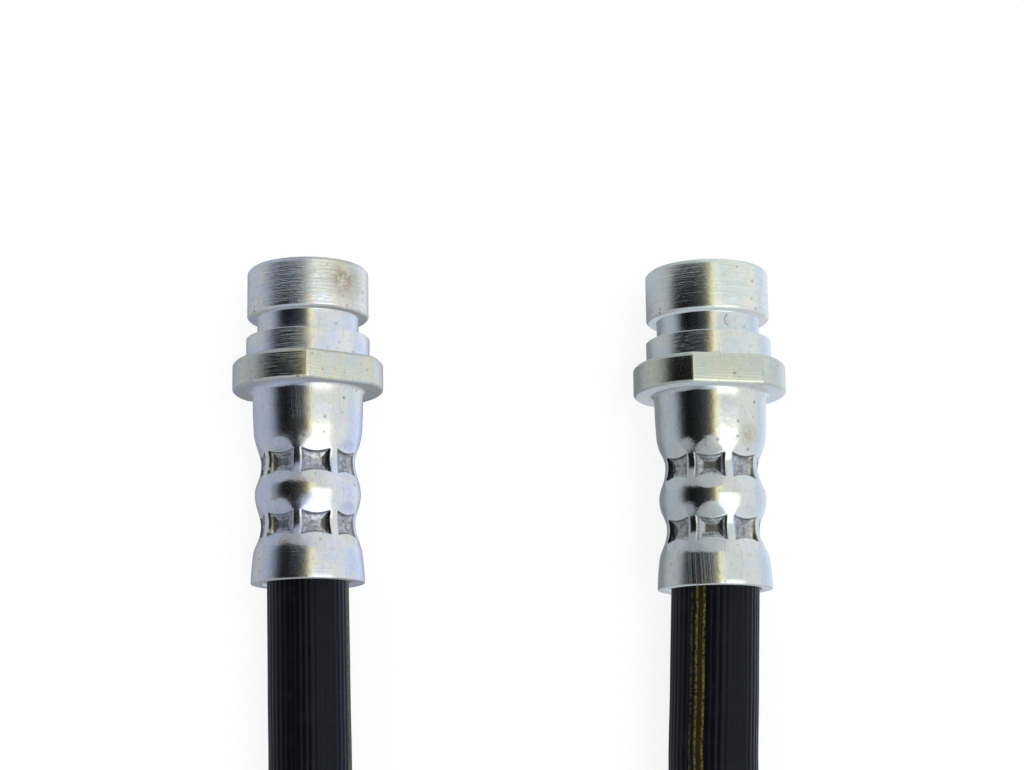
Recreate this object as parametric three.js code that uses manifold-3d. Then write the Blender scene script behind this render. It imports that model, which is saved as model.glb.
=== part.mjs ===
// A car's flexible brake hose, lying on a floor: two steel end fittings crimped on one rubber hose.
// Millimetres, +Z up. Both fittings point along +Y and the hose leaves them along -Y, then lies in
// a flat loop. The origin is on the floor, under the middle of the two fittings.

import * as THREE from "three";
import { mergeVertices } from "three/addons/utils/BufferGeometryUtils.js";
import Module from "manifold-3d";

const wasm = await Module();
wasm.setup();

// Driving dimensions: how the two ends lie.

const FITTING_SPACING = 49.5;
const FITTING_STAGGER = 1.7;
const FITTING_LEAN = 0.4;
const LEFT_FLAT_ANGLE = 37;
const RIGHT_FLAT_ANGLE = 14;
const LEFT_INDENT_ANGLE = 18.7;
const RIGHT_INDENT_ANGLE = -5.2;

// Driving dimensions: the fitting's head, from the free end towards the hose.

const COLLAR_DIAMETER = 15.0;
const COLLAR_LENGTH = 6.2;
const GROOVE_DIAMETER = 12.5;
const GROOVE_WIDTH = 2.6;
const SHOULDER_DIAMETER = 15.2;
const SHOULDER_LENGTH = 2.95;
const FLANGE_DIAMETER = 18.5;
const FLANGE_THICKNESS = 3.7;
const ACROSS_FLATS = 16.3;
const EDGE_CHAMFER = 0.4;
const FLANGE_FILLET = 0.7;

// Driving dimensions: the crimped socket, with its neck under each row of indents.

const SLEEVE_DIAMETER = 13.6;
const SLEEVE_LENGTH = 5.1;
const SLEEVE_END_DIAMETER = 13.2;
const FIRST_NECK_DROP = 3.9;
const NECK_PITCH = 7.5;
const NECK_DIAMETER = 11.45;
const BULGE_DIAMETER = 12.85;
const SKIRT_RISE = 3.6;
const SKIRT_LENGTH = 3.5;
const SKIRT_DIAMETER = 13.75;
const SOCKET_WALL = 1.3;

// Driving dimensions: the square indents of the crimping tool.

const INDENTS_PER_ROW = 8;
const INDENT_WIDTH = 3.3;
const INDENT_FLOOR_RADIUS = 5.1;
const INDENT_SIDE_SLOPE = 0.8;

// Driving dimensions: the port for the pipe nut (M10 x 1, cut here at the thread's minor diameter).

const PORT_DIAMETER = 8.9;
const PORT_MOUTH_DIAMETER = 10.4;
const PORT_DEPTH = 12.6;
const WEB_THICKNESS = 3.6;

// Driving dimensions: the nipple insert that carries the hose end and the pipe's seat.

const NIPPLE_BORE = 2.6;
const NIPPLE_DIAMETER = 4.0;
const BARB_HEIGHT = 0.2;
const BARB_COUNT = 5;
const BARB_PITCH = 3.2;
const BARB_TAPER = 1.0;
const SHANK_DIAMETER = 5.4;
const SEAT_HEAD_THICKNESS = 1.2;
const SEAT_CONE_HEIGHT = 1.9;
const SEAT_TIP_DIAMETER = 3.8;
const NIPPLE_END_SETBACK = 1.5;

// Driving dimensions: the hose's layers, free and squeezed in the socket, as wall thicknesses.

const HOSE_DIAMETER = 10.5;
const HOSE_BORE = 3.2;
const LINER_WALL = 0.7;
const BRAID_WALL = 0.3;
const TIE_WALL = 0.25;
const LAYER_GAP = 0.15;
const SQUEEZED_LINER_WALL = 0.35;
const SQUEEZED_PLY_WALL = 0.15;
const HOSE_END_SETBACK = 0.8;
const MOUTH_FLARE = 1.5;
const TUBE_LAP = 0.5;
const LAP_EASE = 0.05;

// Clearance between metal pieces that touch on the real hose.

const CLEARANCE = 0.3;

// How finely round things are cut.

const BODY_SIDES = 24;
const INSERT_SIDES = 12;
const HOSE_SIDES = 12;
const ROUTE_STEPS = 20;
const BLEND_STEPS = 4;

// The hose's route from the left socket's mouth to the right one's, chosen by hand.

const FLOOR_GAP = 0.05;
const FLOOR_HEIGHT = HOSE_DIAMETER / 2 + FLOOR_GAP;
const LEFT_LEG = [
  [-24.22, -32.0],
  [-24.06, -45.0],
];
const RIGHT_LEG = [
  [23.93, -32.0],
  [23.47, -45.0],
];
const ROUTE_ON_FLOOR = [
  [-25.3, -58.0, 8.0],
  [-28.9, -67.7, 6.9],
  [-34.8, -76.6, 6.0],
  [-41.5, -88.5, FLOOR_HEIGHT],
  [-45.0, -105.2, FLOOR_HEIGHT],
  [-39.0, -127.7, FLOOR_HEIGHT],
  [-22.5, -144.2, FLOOR_HEIGHT],
  [0.0, -150.2, FLOOR_HEIGHT],
  [22.5, -144.2, FLOOR_HEIGHT],
  [39.0, -127.7, FLOOR_HEIGHT],
  [45.0, -105.2, FLOOR_HEIGHT],
  [41.5, -88.5, FLOOR_HEIGHT],
  [34.8, -76.6, 6.0],
  [28.8, -67.7, 6.9],
  [25.0, -58.0, 8.0],
];

// Places along the fitting, counted from its free end.

const grooveStart = COLLAR_LENGTH;
const grooveEnd = grooveStart + GROOVE_WIDTH;
const flangeStart = grooveEnd + SHOULDER_LENGTH;
const flangeEnd = flangeStart + FLANGE_THICKNESS;
const sleeveEnd = flangeEnd + SLEEVE_LENGTH;
const firstNeck = sleeveEnd + FIRST_NECK_DROP;
const secondNeck = firstNeck + NECK_PITCH;
const skirtStart = secondNeck + SKIRT_RISE;
const fittingLength = skirtStart + SKIRT_LENGTH;
const cavityStart = PORT_DEPTH + WEB_THICKNESS;

// Where each fitting lies in the part's frame: its own frame has the free end's centre as origin.

const leftPlace = fittingPlace(-1, LEFT_FLAT_ANGLE);
const rightPlace = fittingPlace(1, RIGHT_FLAT_ANGLE);

// The height of a fitting's axis when its flange lies on the floor, turned by an angle from upright.
function restHeight(flatAngle) {
  const turn = THREE.MathUtils.degToRad(flatAngle);
  const halfFlat = Math.acos(ACROSS_FLATS / FLANGE_DIAMETER);
  const pastEdge = Math.max(0, halfFlat - Math.abs(turn));
  return (FLANGE_DIAMETER / 2) * Math.cos(pastEdge);
}

// The move that lays a fitting down: its tip's place, and its lean towards the other fitting.
function fittingPlace(side, flatAngle) {
  const x = (side * FITTING_SPACING) / 2;
  const y = (fittingLength - side * FITTING_STAGGER) / 2;
  const lean = THREE.MathUtils.degToRad(-side * FITTING_LEAN);
  const place = new THREE.Matrix4().makeRotationZ(lean);
  return place.setPosition(x, y, restHeight(flatAngle));
}

// A steel, rubber or fibre look for one sub-part.
function material(color, roughness, metalness) {
  return new THREE.MeshStandardMaterial({ color, roughness, metalness });
}

// Keeps only a geometry's position, with shared vertices merged, as one indexed closed mesh.
function positionsOnly(geometry) {
  const bare = geometry.clone();
  bare.deleteAttribute("normal");
  bare.deleteAttribute("uv");
  return mergeVertices(bare, 1e-4);
}

// Makes a solid that can be cut and joined from a closed geometry.
function toSolid(geometry) {
  const bare = positionsOnly(geometry);
  const vertProperties = new Float32Array(bare.attributes.position.array);
  const triVerts = new Uint32Array(bare.index.array);
  return new wasm.Manifold(new wasm.Mesh({ numProp: 3, vertProperties, triVerts }));
}

// Turns a cut or joined solid back into a geometry.
function toGeometry(solid) {
  const mesh = solid.getMesh();
  const geometry = new THREE.BufferGeometry();
  geometry.setAttribute("position", new THREE.BufferAttribute(mesh.vertProperties, 3));
  geometry.setIndex(new THREE.BufferAttribute(mesh.triVerts, 1));
  geometry.computeVertexNormals();
  return geometry;
}

// Revolves a closed outline of [radius, distance from the free end] points about the fitting's axis.
function turned(outline, sides) {
  const points = outline.map(([radius, along]) => new THREE.Vector2(radius, -along));
  points.push(points[0].clone());
  return new THREE.LatheGeometry(points.reverse(), sides);
}

// A smooth rise from one radius to another, with a level start and end.
function eased(from, to, share) {
  return from + (to - from) * 0.5 * (1 - Math.cos(Math.PI * share));
}

// The places where the crimped socket is widest or narrowest, from the sleeve's end to the rim.
function socketCorners() {
  return [
    [SLEEVE_END_DIAMETER / 2, sleeveEnd],
    [NECK_DIAMETER / 2, firstNeck],
    [BULGE_DIAMETER / 2, (firstNeck + secondNeck) / 2],
    [NECK_DIAMETER / 2, secondNeck],
    [SLEEVE_END_DIAMETER / 2, skirtStart],
    [SKIRT_DIAMETER / 2, fittingLength],
  ];
}

// The crimped socket's outer outline: smooth waves between its corners, then the flared skirt.
function socketOutline() {
  const corners = socketCorners();
  const rim = corners.pop();
  const outline = [];
  for (let index = 0; index + 1 < corners.length; index += 1) {
    const [startRadius, start] = corners[index];
    const [endRadius, end] = corners[index + 1];
    for (let step = 0; step < BLEND_STEPS; step += 1) {
      const share = step / BLEND_STEPS;
      outline.push([eased(startRadius, endRadius, share), start + (end - start) * share]);
    }
  }
  outline.push(corners[corners.length - 1], rim);
  return outline;
}

// The rounded corner between the flange's underside and the sleeve.
function flangeFillet() {
  const corner = [];
  for (let step = 0; step <= BLEND_STEPS; step += 1) {
    const angle = (Math.PI / 2) * (step / BLEND_STEPS);
    const out = FLANGE_FILLET * (1 - Math.sin(angle));
    const down = FLANGE_FILLET * (1 - Math.cos(angle));
    corner.push([SLEEVE_DIAMETER / 2 + out, flangeEnd + down]);
  }
  return corner;
}

// A round step of the head: its two chamfered corners.
function chamferedStep(diameter, start, end) {
  const radius = diameter / 2;
  return [
    [radius - EDGE_CHAMFER, start],
    [radius, start + EDGE_CHAMFER],
    [radius, end - EDGE_CHAMFER],
    [radius - EDGE_CHAMFER, end],
  ];
}

// The body's outer outline from the free end to the skirt.
function bodyOuterOutline() {
  return [
    ...chamferedStep(COLLAR_DIAMETER, 0, grooveStart),
    [GROOVE_DIAMETER / 2, grooveStart],
    [GROOVE_DIAMETER / 2, grooveEnd],
    [SHOULDER_DIAMETER / 2, grooveEnd],
    [SHOULDER_DIAMETER / 2, flangeStart],
    ...chamferedStep(FLANGE_DIAMETER, flangeStart, flangeEnd),
    ...flangeFillet(),
    ...socketOutline(),
  ];
}

// The body's inner outline from the skirt back to the free end: hose space, web and port.
function bodyInnerOutline() {
  const hoseSpace = socketCorners().reverse();
  return [
    ...hoseSpace.map(([radius, along]) => [radius - SOCKET_WALL, along]),
    [SLEEVE_DIAMETER / 2 - SOCKET_WALL, cavityStart],
    [SHANK_DIAMETER / 2 + CLEARANCE, cavityStart],
    [SHANK_DIAMETER / 2 + CLEARANCE, PORT_DEPTH],
    [PORT_DIAMETER / 2, PORT_DEPTH],
    [PORT_DIAMETER / 2, (PORT_MOUTH_DIAMETER - PORT_DIAMETER) / 2],
    [PORT_MOUTH_DIAMETER / 2, 0],
  ];
}

// The tool that takes one wrench flat off the flange, on the side that an angle names.
function flatCutter(angle) {
  const depth = FLANGE_DIAMETER - ACROSS_FLATS;
  const height = FLANGE_THICKNESS + 2 * EDGE_CHAMFER;
  const block = new THREE.BoxGeometry(2 * FLANGE_DIAMETER, height, depth);
  block.translate(0, -(flangeStart + flangeEnd) / 2, ACROSS_FLATS / 2 + depth / 2);
  block.rotateY(THREE.MathUtils.degToRad(angle));
  return toSolid(block);
}

// The crimping tool's square punch, pointing at the axis at one place along and about it.
function indentPunch(along, angle) {
  const height = NECK_DIAMETER / 2;
  const floorHalfWidth = INDENT_WIDTH / 2 - (NECK_DIAMETER / 2 - INDENT_FLOOR_RADIUS) * INDENT_SIDE_SLOPE;
  const topHalfWidth = floorHalfWidth + height * INDENT_SIDE_SLOPE;
  const punch = new THREE.CylinderGeometry(
    topHalfWidth * Math.SQRT2,
    floorHalfWidth * Math.SQRT2,
    height,
    4,
  );
  punch.rotateY(Math.PI / 4);
  punch.rotateX(Math.PI / 2);
  punch.translate(0, -along, INDENT_FLOOR_RADIUS + height / 2);
  punch.rotateY(THREE.MathUtils.degToRad(angle));
  return toSolid(punch);
}

// One end fitting's body: turned, then flatted, bored and crimped, all one piece of steel.
function fittingBody(flatAngle, indentAngle) {
  let body = toSolid(turned([...bodyOuterOutline(), ...bodyInnerOutline()], BODY_SIDES));
  for (const angle of [flatAngle, flatAngle + 180]) {
    body = body.subtract(flatCutter(angle));
  }
  for (const along of [firstNeck, secondNeck]) {
    for (let index = 0; index < INDENTS_PER_ROW; index += 1) {
      const angle = indentAngle + (360 / INDENTS_PER_ROW) * index;
      body = body.subtract(indentPunch(along, angle));
    }
  }
  return toGeometry(body);
}

// The barbed tube in a fitting, with the cone that the pipe's flare seats on.
function nippleInsert() {
  const bore = NIPPLE_BORE / 2;
  const headBottom = PORT_DEPTH - CLEARANCE;
  const headTop = headBottom - SEAT_HEAD_THICKNESS;
  const coneTop = headTop - SEAT_CONE_HEIGHT;
  const end = fittingLength - NIPPLE_END_SETBACK;
  const radius = NIPPLE_DIAMETER / 2;
  const outline = [
    [bore, coneTop],
    [SEAT_TIP_DIAMETER / 2, coneTop],
    [PORT_DIAMETER / 2 - CLEARANCE, headTop],
    [PORT_DIAMETER / 2 - CLEARANCE, headBottom],
    [SHANK_DIAMETER / 2, headBottom],
    [SHANK_DIAMETER / 2, cavityStart],
    [radius, cavityStart],
  ];
  for (let index = BARB_COUNT - 1; index >= 0; index -= 1) {
    const barb = end - BARB_TAPER - index * BARB_PITCH;
    outline.push([radius, barb - BARB_HEIGHT]);
    outline.push([radius + BARB_HEIGHT, barb - BARB_HEIGHT]);
    outline.push([radius, barb + BARB_TAPER]);
  }
  outline.push([bore, end]);
  return turned(outline, INSERT_SIDES);
}

// The hose's route as a smooth curve, nearly straight where it leaves each socket.
function hoseRoute() {
  const leftMouth = new THREE.Vector3(0, -fittingLength, 0).applyMatrix4(leftPlace);
  const rightMouth = new THREE.Vector3(0, -fittingLength, 0).applyMatrix4(rightPlace);
  const leftLeg = LEFT_LEG.map(([x, y]) => new THREE.Vector3(x, y, leftMouth.z));
  const rightLeg = RIGHT_LEG.map(([x, y]) => new THREE.Vector3(x, y, rightMouth.z));
  const onFloor = ROUTE_ON_FLOOR.map(([x, y, z]) => new THREE.Vector3(x, y, z));
  const points = [leftMouth, ...leftLeg, ...onFloor, ...rightLeg.reverse(), rightMouth];
  return new THREE.CatmullRomCurve3(points, false, "centripetal");
}

// A regular polygon standing for a circle of the hose's section.
function ringPoints(radius) {
  const points = [];
  for (let side = 0; side < HOSE_SIDES; side += 1) {
    const angle = (2 * Math.PI * side) / HOSE_SIDES;
    points.push(new THREE.Vector2(radius * Math.cos(angle), radius * Math.sin(angle)));
  }
  return points;
}

// One layer of the free hose, a tube along the route.
function layerTube(route, innerRadius, outerRadius) {
  const section = new THREE.Shape(ringPoints(outerRadius));
  section.holes.push(new THREE.Path(ringPoints(innerRadius)));
  return new THREE.ExtrudeGeometry(section, {
    extrudePath: route,
    steps: ROUTE_STEPS,
    bevelEnabled: false,
  });
}

// One layer's end in a socket, squeezed between two outlines, and the lap that joins it to its tube.
function layerEnd(free, squeezed) {
  const mouth = fittingLength;
  const flare = mouth - MOUTH_FLARE;
  const start = cavityStart + HOSE_END_SETBACK;
  const outer = squeezed.followsSocket
    ? socketCorners()
        .filter(([, along]) => along > start && along < flare)
        .map(([radius, along]) => [radius - SOCKET_WALL - CLEARANCE / 2, along])
    : [];
  const outerAtStart = squeezed.followsSocket ? outer[0][0] : squeezed.outer;
  const outerAtFlare = squeezed.followsSocket ? free.outer - LAP_EASE : squeezed.outer;
  const outline = [
    [squeezed.inner, start],
    [outerAtStart, start],
    ...outer,
    [outerAtFlare, flare],
    [free.outer - LAP_EASE, mouth],
    [free.outer - LAP_EASE, mouth + TUBE_LAP],
    [free.inner + LAP_EASE, mouth + TUBE_LAP],
    [free.inner + LAP_EASE, mouth],
    [squeezed.inner, flare],
  ];
  return turned(outline, HOSE_SIDES);
}

// One whole layer of the hose: its tube and both squeezed ends as one piece.
function hoseLayer(route, free, squeezed) {
  const end = layerEnd(free, squeezed);
  const leftEnd = toSolid(end.clone().applyMatrix4(leftPlace));
  const rightEnd = toSolid(end.clone().applyMatrix4(rightPlace));
  const tube = toSolid(layerTube(route, free.inner, free.outer));
  return toGeometry(tube.add(leftEnd).add(rightEnd));
}

// The hose's layers from the bore outwards, each with its name, walls and look.
function hoseLayers() {
  const plies = [
    ["hose_liner", LINER_WALL, SQUEEZED_LINER_WALL, material(0x17181a, 0.6, 0)],
    ["hose_inner_braid", BRAID_WALL, SQUEEZED_PLY_WALL, material(0xd8d2bf, 0.85, 0)],
    ["hose_tie_layer", TIE_WALL, SQUEEZED_PLY_WALL, material(0x202022, 0.7, 0)],
    ["hose_outer_braid", BRAID_WALL, SQUEEZED_PLY_WALL, material(0xd8d2bf, 0.85, 0)],
  ];
  const layers = [];
  let freeInner = HOSE_BORE / 2;
  let squeezedInner = NIPPLE_DIAMETER / 2 + BARB_HEIGHT + LAYER_GAP;
  for (const [name, wall, squeezedWall, look] of plies) {
    const free = { inner: freeInner, outer: freeInner + wall };
    const squeezed = { inner: squeezedInner, outer: squeezedInner + squeezedWall };
    layers.push({ name, free, squeezed, look });
    freeInner = free.outer + LAYER_GAP;
    squeezedInner = squeezed.outer + LAYER_GAP;
  }
  layers.push({
    name: "hose_cover",
    free: { inner: freeInner, outer: HOSE_DIAMETER / 2 },
    squeezed: { inner: squeezedInner, followsSocket: true },
    look: material(0x14141a, 0.55, 0),
  });
  return layers;
}

// Adds a named mesh to the part.
function addMesh(group, name, geometry, look) {
  const mesh = new THREE.Mesh(geometry, look);
  mesh.name = name;
  group.add(mesh);
}

// Adds one end fitting: its body and the insert pressed into it.
function addFitting(group, side, place, flatAngle, indentAngle) {
  const zinc = material(0xb9bcc2, 0.28, 1);
  const steel = material(0x9a9ca0, 0.35, 1);
  const body = fittingBody(flatAngle, indentAngle).applyMatrix4(place);
  const insert = nippleInsert().applyMatrix4(place);
  addMesh(group, `${side}_fitting_body`, body, zinc);
  addMesh(group, `${side}_nipple_insert`, insert, steel);
}

// The whole brake hose: two fittings with their inserts, and the hose's layers.
function brakeHose() {
  const group = new THREE.Group();
  addFitting(group, "left", leftPlace, LEFT_FLAT_ANGLE, LEFT_INDENT_ANGLE);
  addFitting(group, "right", rightPlace, RIGHT_FLAT_ANGLE, RIGHT_INDENT_ANGLE);
  const route = hoseRoute();
  for (const { name, free, squeezed, look } of hoseLayers()) {
    addMesh(group, name, hoseLayer(route, free, squeezed), look);
  }
  return group;
}

export default brakeHose();
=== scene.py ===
"""A brake hose with two crimped steel end fittings, lying on a pale studio floor."""

import logging
import math
from dataclasses import dataclass, field
from enum import Enum

import bmesh
import bpy
import numpy as np
from mathutils import Matrix, Vector


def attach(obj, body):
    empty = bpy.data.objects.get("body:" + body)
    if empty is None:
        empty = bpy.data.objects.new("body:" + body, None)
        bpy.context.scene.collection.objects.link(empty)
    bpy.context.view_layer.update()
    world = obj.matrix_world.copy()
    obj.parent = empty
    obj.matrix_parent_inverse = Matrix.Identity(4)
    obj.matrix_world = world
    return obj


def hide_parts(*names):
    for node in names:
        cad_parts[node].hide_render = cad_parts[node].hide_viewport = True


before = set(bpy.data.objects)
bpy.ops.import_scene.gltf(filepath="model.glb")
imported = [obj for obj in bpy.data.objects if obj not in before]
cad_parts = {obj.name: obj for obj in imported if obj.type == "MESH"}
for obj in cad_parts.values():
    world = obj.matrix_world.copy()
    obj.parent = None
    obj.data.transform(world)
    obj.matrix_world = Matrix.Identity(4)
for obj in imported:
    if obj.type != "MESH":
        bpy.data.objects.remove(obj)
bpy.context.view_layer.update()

MM = 0.001
Z_UP = np.array([0.0, 0.0, 1.0])
# Places on an outline that are closer than this, in millimetres, count as one.
CLOSE = 0.01
# The least that anything is divided by.
TINY = 1e-6
# An edge that turns further than this stays sharp.
SHARP_ANGLE = math.radians(38)
Socket = bpy.types.NodeSocket
Colour = tuple[float, float, float, float]

logging.basicConfig(level=logging.INFO, format="%(message)s")
LOG = logging.getLogger("brake_hose")


class Side(Enum):
    """Which end of the hose a fitting is on, as seen in the photograph."""

    LEFT = "left"
    RIGHT = "right"


class Wall(Enum):
    """Which face of a turned piece a ring of points lies on."""

    OUTSIDE = 1
    INSIDE = 2


@dataclass(frozen=True)
class Corner:
    """One corner of a turned outline.

    Args:
        radius: Distance from the axis, in millimetres.
        along: Distance from the fitting's free end, in millimetres.
        fillet: Radius of the rounding at the corner, in millimetres.
    """

    radius: float
    along: float
    fillet: float = 0.0


def rounded_outline(corners: list[Corner], steps: int = 4, most: float = 0.45) -> np.ndarray:
    """Rounds the corners of an open outline.

    Args:
        corners: The outline's corners in order.
        steps: Segments in each rounding.
        most: The most that a rounding takes of the side before or after it, as a share.

    Returns:
        An array of [radius, along] points in millimetres.
    """
    points: list[np.ndarray] = []
    for index, corner in enumerate(corners):
        here = np.array([corner.radius, corner.along])
        at_end = index in (0, len(corners) - 1)
        if at_end or corner.fillet <= 0:
            points.append(here)
            continue
        before = corners[index - 1]
        after = corners[index + 1]
        back = np.array([before.radius, before.along]) - here
        ahead = np.array([after.radius, after.along]) - here
        reach = min(corner.fillet, most * np.linalg.norm(back), most * np.linalg.norm(ahead))
        start = here + back / np.linalg.norm(back) * reach
        end = here + ahead / np.linalg.norm(ahead) * reach
        for step in range(steps + 1):
            share = step / steps
            points.append((1 - share) ** 2 * start + 2 * share * (1 - share) * here + share**2 * end)
    return np.array(points)


def eased(share: np.ndarray) -> np.ndarray:
    """A smooth rise from 0 to 1 with a level start and end."""
    return 0.5 * (1 - np.cos(np.pi * np.clip(share, 0, 1)))


def loop_mesh(name: str, rings: np.ndarray, uv: np.ndarray | None = None) -> bpy.types.Object:
    """Joins rings of points, the last to the first, into one smooth-shaded mesh object.

    Args:
        name: The object's name.
        rings: Points in metres, shaped rings by columns by 3; each ring is closed.
        uv: Texture coordinates of each ring point plus one closing row and column, or None.

    Returns:
        The new object, linked to the scene.
    """
    count, columns = rings.shape[:2]
    row = np.arange(count)[:, None]
    column = np.arange(columns)[None, :]
    next_row = (row + 1) % count
    next_column = (column + 1) % columns
    faces = np.stack(
        [
            row * columns + column,
            row * columns + next_column,
            next_row * columns + next_column,
            next_row * columns + column,
        ],
        axis=-1,
    ).reshape(-1, 4)
    mesh = bpy.data.meshes.new(name)
    mesh.from_pydata(rings.reshape(-1, 3).tolist(), [], faces.tolist())
    if uv is not None:
        layer = mesh.uv_layers.new(name="around_and_along")
        corners = np.stack(
            [
                uv[row, column],
                uv[row, column + 1],
                uv[row + 1, column + 1],
                uv[row + 1, column],
            ],
            axis=2,
        )
        layer.data.foreach_set("uv", corners.reshape(-1).astype(np.float32))
    mesh.polygons.foreach_set("use_smooth", [True] * len(mesh.polygons))
    mesh.set_sharp_from_angle(angle=SHARP_ANGLE)
    mesh.update()
    thing = bpy.data.objects.new(name, mesh)
    bpy.context.scene.collection.objects.link(thing)
    return thing


def face_outwards(thing: bpy.types.Object) -> None:
    """Turns a closed mesh's faces so that they point out of it.

    Args:
        thing: The mesh object.
    """
    work = bmesh.new()
    work.from_mesh(thing.data)
    if work.calc_volume(signed=True) < 0:
        bmesh.ops.reverse_faces(work, faces=work.faces)
        work.to_mesh(thing.data)
    work.free()


class NodeBoard:
    """A small helper that lays out and joins shader nodes."""

    def __init__(self, tree: bpy.types.NodeTree) -> None:
        """Empties a node tree and keeps it.

        Args:
            tree: The material's or world's node tree.
        """
        self.tree = tree
        tree.nodes.clear()

    def add(self, kind: str, **values: object) -> bpy.types.Node:
        """Adds a node and sets its properties and sockets.

        Args:
            kind: The node's type name.
            **values: Properties by name, or input sockets by name with spaces as underscores.

        Returns:
            The new node.
        """
        node = self.tree.nodes.new(kind)
        for key, value in values.items():
            if hasattr(node, key):
                setattr(node, key, value)
            else:
                self.feed(node.inputs[key.replace("_", " ")], value)
        return node

    def feed(self, socket: Socket, value: object) -> None:
        """Links a socket to another socket, or sets its constant.

        Args:
            socket: The input socket.
            value: The other socket, or the constant.
        """
        if isinstance(value, Socket):
            self.tree.links.new(value, socket)
        else:
            socket.default_value = value

    def maths(self, operation: str, *values: object, clamp: bool = False) -> Socket:
        """Adds a maths node.

        Args:
            operation: The operation's name.
            *values: Sockets or numbers for its inputs.
            clamp: Whether the result is held between 0 and 1.

        Returns:
            The result's socket.
        """
        node = self.tree.nodes.new("ShaderNodeMath")
        node.operation = operation
        node.use_clamp = clamp
        for socket, value in zip(node.inputs, values):
            self.feed(socket, value)
        return node.outputs[0]

    def product(self, first: object, *others: object) -> Socket:
        """Multiplies values.

        Args:
            first: The first socket or number.
            *others: The sockets or numbers that it is multiplied by.

        Returns:
            The product's socket.
        """
        result = first
        for other in others:
            result = self.maths("MULTIPLY", result, other)
        return result

    def hypotenuse(self, first: Socket, second: Socket) -> Socket:
        """The length of the slope over two sides that are square to each other."""
        squares = self.maths("ADD", self.product(first, first), self.product(second, second))
        return self.maths("SQRT", squares)

    def ramp(self, value: Socket, low: float, high: float) -> Socket:
        """Maps a value from low..high to 0..1 with a soft start and end, held at both ends.

        Args:
            value: The value's socket.
            low: The value that gives 0.
            high: The value that gives 1, which may be the lower one.

        Returns:
            The result's socket.
        """
        node = self.tree.nodes.new("ShaderNodeMapRange")
        node.interpolation_type = "SMOOTHSTEP"
        self.feed(node.inputs["Value"], value)
        node.inputs["From Min"].default_value = low
        node.inputs["From Max"].default_value = high
        return node.outputs["Result"]

    def between(self, value: Socket, low: float, high: float, soft: float) -> Socket:
        """Finds where a value lies between two limits.

        Args:
            value: The value's socket.
            low: The lower limit.
            high: The upper limit.
            soft: How far each limit is blurred to both sides.

        Returns:
            The result's socket, 1 between the limits and 0 outside.
        """
        rise = self.ramp(value, low - soft, low + soft)
        fall = self.ramp(value, high + soft, high - soft)
        return self.product(rise, fall)

    def line_noise(self, value: Socket, detail: float) -> Socket:
        """Adds noise that changes with one value.

        Args:
            value: The value's socket, in steps of about one wave.
            detail: How many finer layers it has.

        Returns:
            The noise's socket.
        """
        node = self.add("ShaderNodeTexNoise", noise_dimensions="1D", W=value, Scale=1.0, Detail=detail)
        return node.outputs[0]

    def bump(
        self,
        height: Socket,
        depth: float,
        strength: float = 1.0,
        under: Socket | None = None,
    ) -> Socket:
        """Adds fine relief.

        Args:
            height: The relief's height, from 0 to 1.
            depth: How deep it is, in metres.
            strength: How much of it shows.
            under: The relief that it lies on, or None.

        Returns:
            The relief's socket, for the shader or the next relief.
        """
        node = self.add("ShaderNodeBump", Height=height, Distance=depth, Strength=strength)
        if under is not None:
            self.feed(node.inputs["Normal"], under)
        return node.outputs[0]

    def mix(self, share: object, first: object, second: object, blend: str = "MIX") -> Socket:
        """Mixes two colours.

        Args:
            share: How much of the second colour, a number or a socket.
            first: The first colour or its socket.
            second: The second colour or its socket.
            blend: The way they are mixed.

        Returns:
            The mixed colour's socket.
        """
        node = self.tree.nodes.new("ShaderNodeMix")
        node.data_type = "RGBA"
        node.blend_type = blend
        self.feed(node.inputs[0], share)
        self.feed(node.inputs[6], first)
        self.feed(node.inputs[7], second)
        return node.outputs[2]


def new_material(name: str) -> tuple[bpy.types.Material, NodeBoard, bpy.types.Node]:
    """Makes a material with a principled shader.

    Args:
        name: The material's name.

    Returns:
        The material, its node board and its principled shader node.
    """
    material = bpy.data.materials.new(name)
    material.use_nodes = True
    board = NodeBoard(material.node_tree)
    shader = board.add("ShaderNodeBsdfPrincipled")
    output = board.add("ShaderNodeOutputMaterial")
    board.feed(output.inputs["Surface"], shader.outputs[0])
    return material, board, shader


@dataclass(frozen=True)
class Grain:
    """Noise over a piece.

    Args:
        scale: How fine it is; a higher number is finer.
        detail: How many finer layers it has.
        roughness: How strong the finer layers are.
        distortion: How much it is swirled.
    """

    scale: float
    detail: float
    roughness: float = 0.5
    distortion: float = 0.0

    def build(self, board: NodeBoard, place: Socket) -> Socket:
        """Lays the noise out.

        Args:
            board: The material's node board.
            place: The coordinates.

        Returns:
            The noise's socket.
        """
        node = board.add("ShaderNodeTexNoise", Vector=place, Scale=self.scale, Detail=self.detail)
        node.inputs["Roughness"].default_value = self.roughness
        node.inputs["Distortion"].default_value = self.distortion
        return node.outputs[0]


@dataclass(frozen=True)
class Rise:
    """A soft rise of an amount while a value goes from one level to another.

    Args:
        start: The value where the rise starts.
        end: The value where it ends, which may be the lower one.
        amount: How much it rises.
        base: What it rises from.
    """

    start: float
    end: float
    amount: float = 1.0
    base: float = 0.0

    def build(self, board: NodeBoard, value: Socket) -> Socket:
        """Draws the rise.

        Args:
            board: The material's node board.
            value: The value that it follows.

        Returns:
            The amount's socket.
        """
        share = board.ramp(value, self.start, self.end)
        if (self.amount, self.base) == (1.0, 0.0):
            return share
        return board.maths("MULTIPLY_ADD", share, self.amount, self.base)


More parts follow.
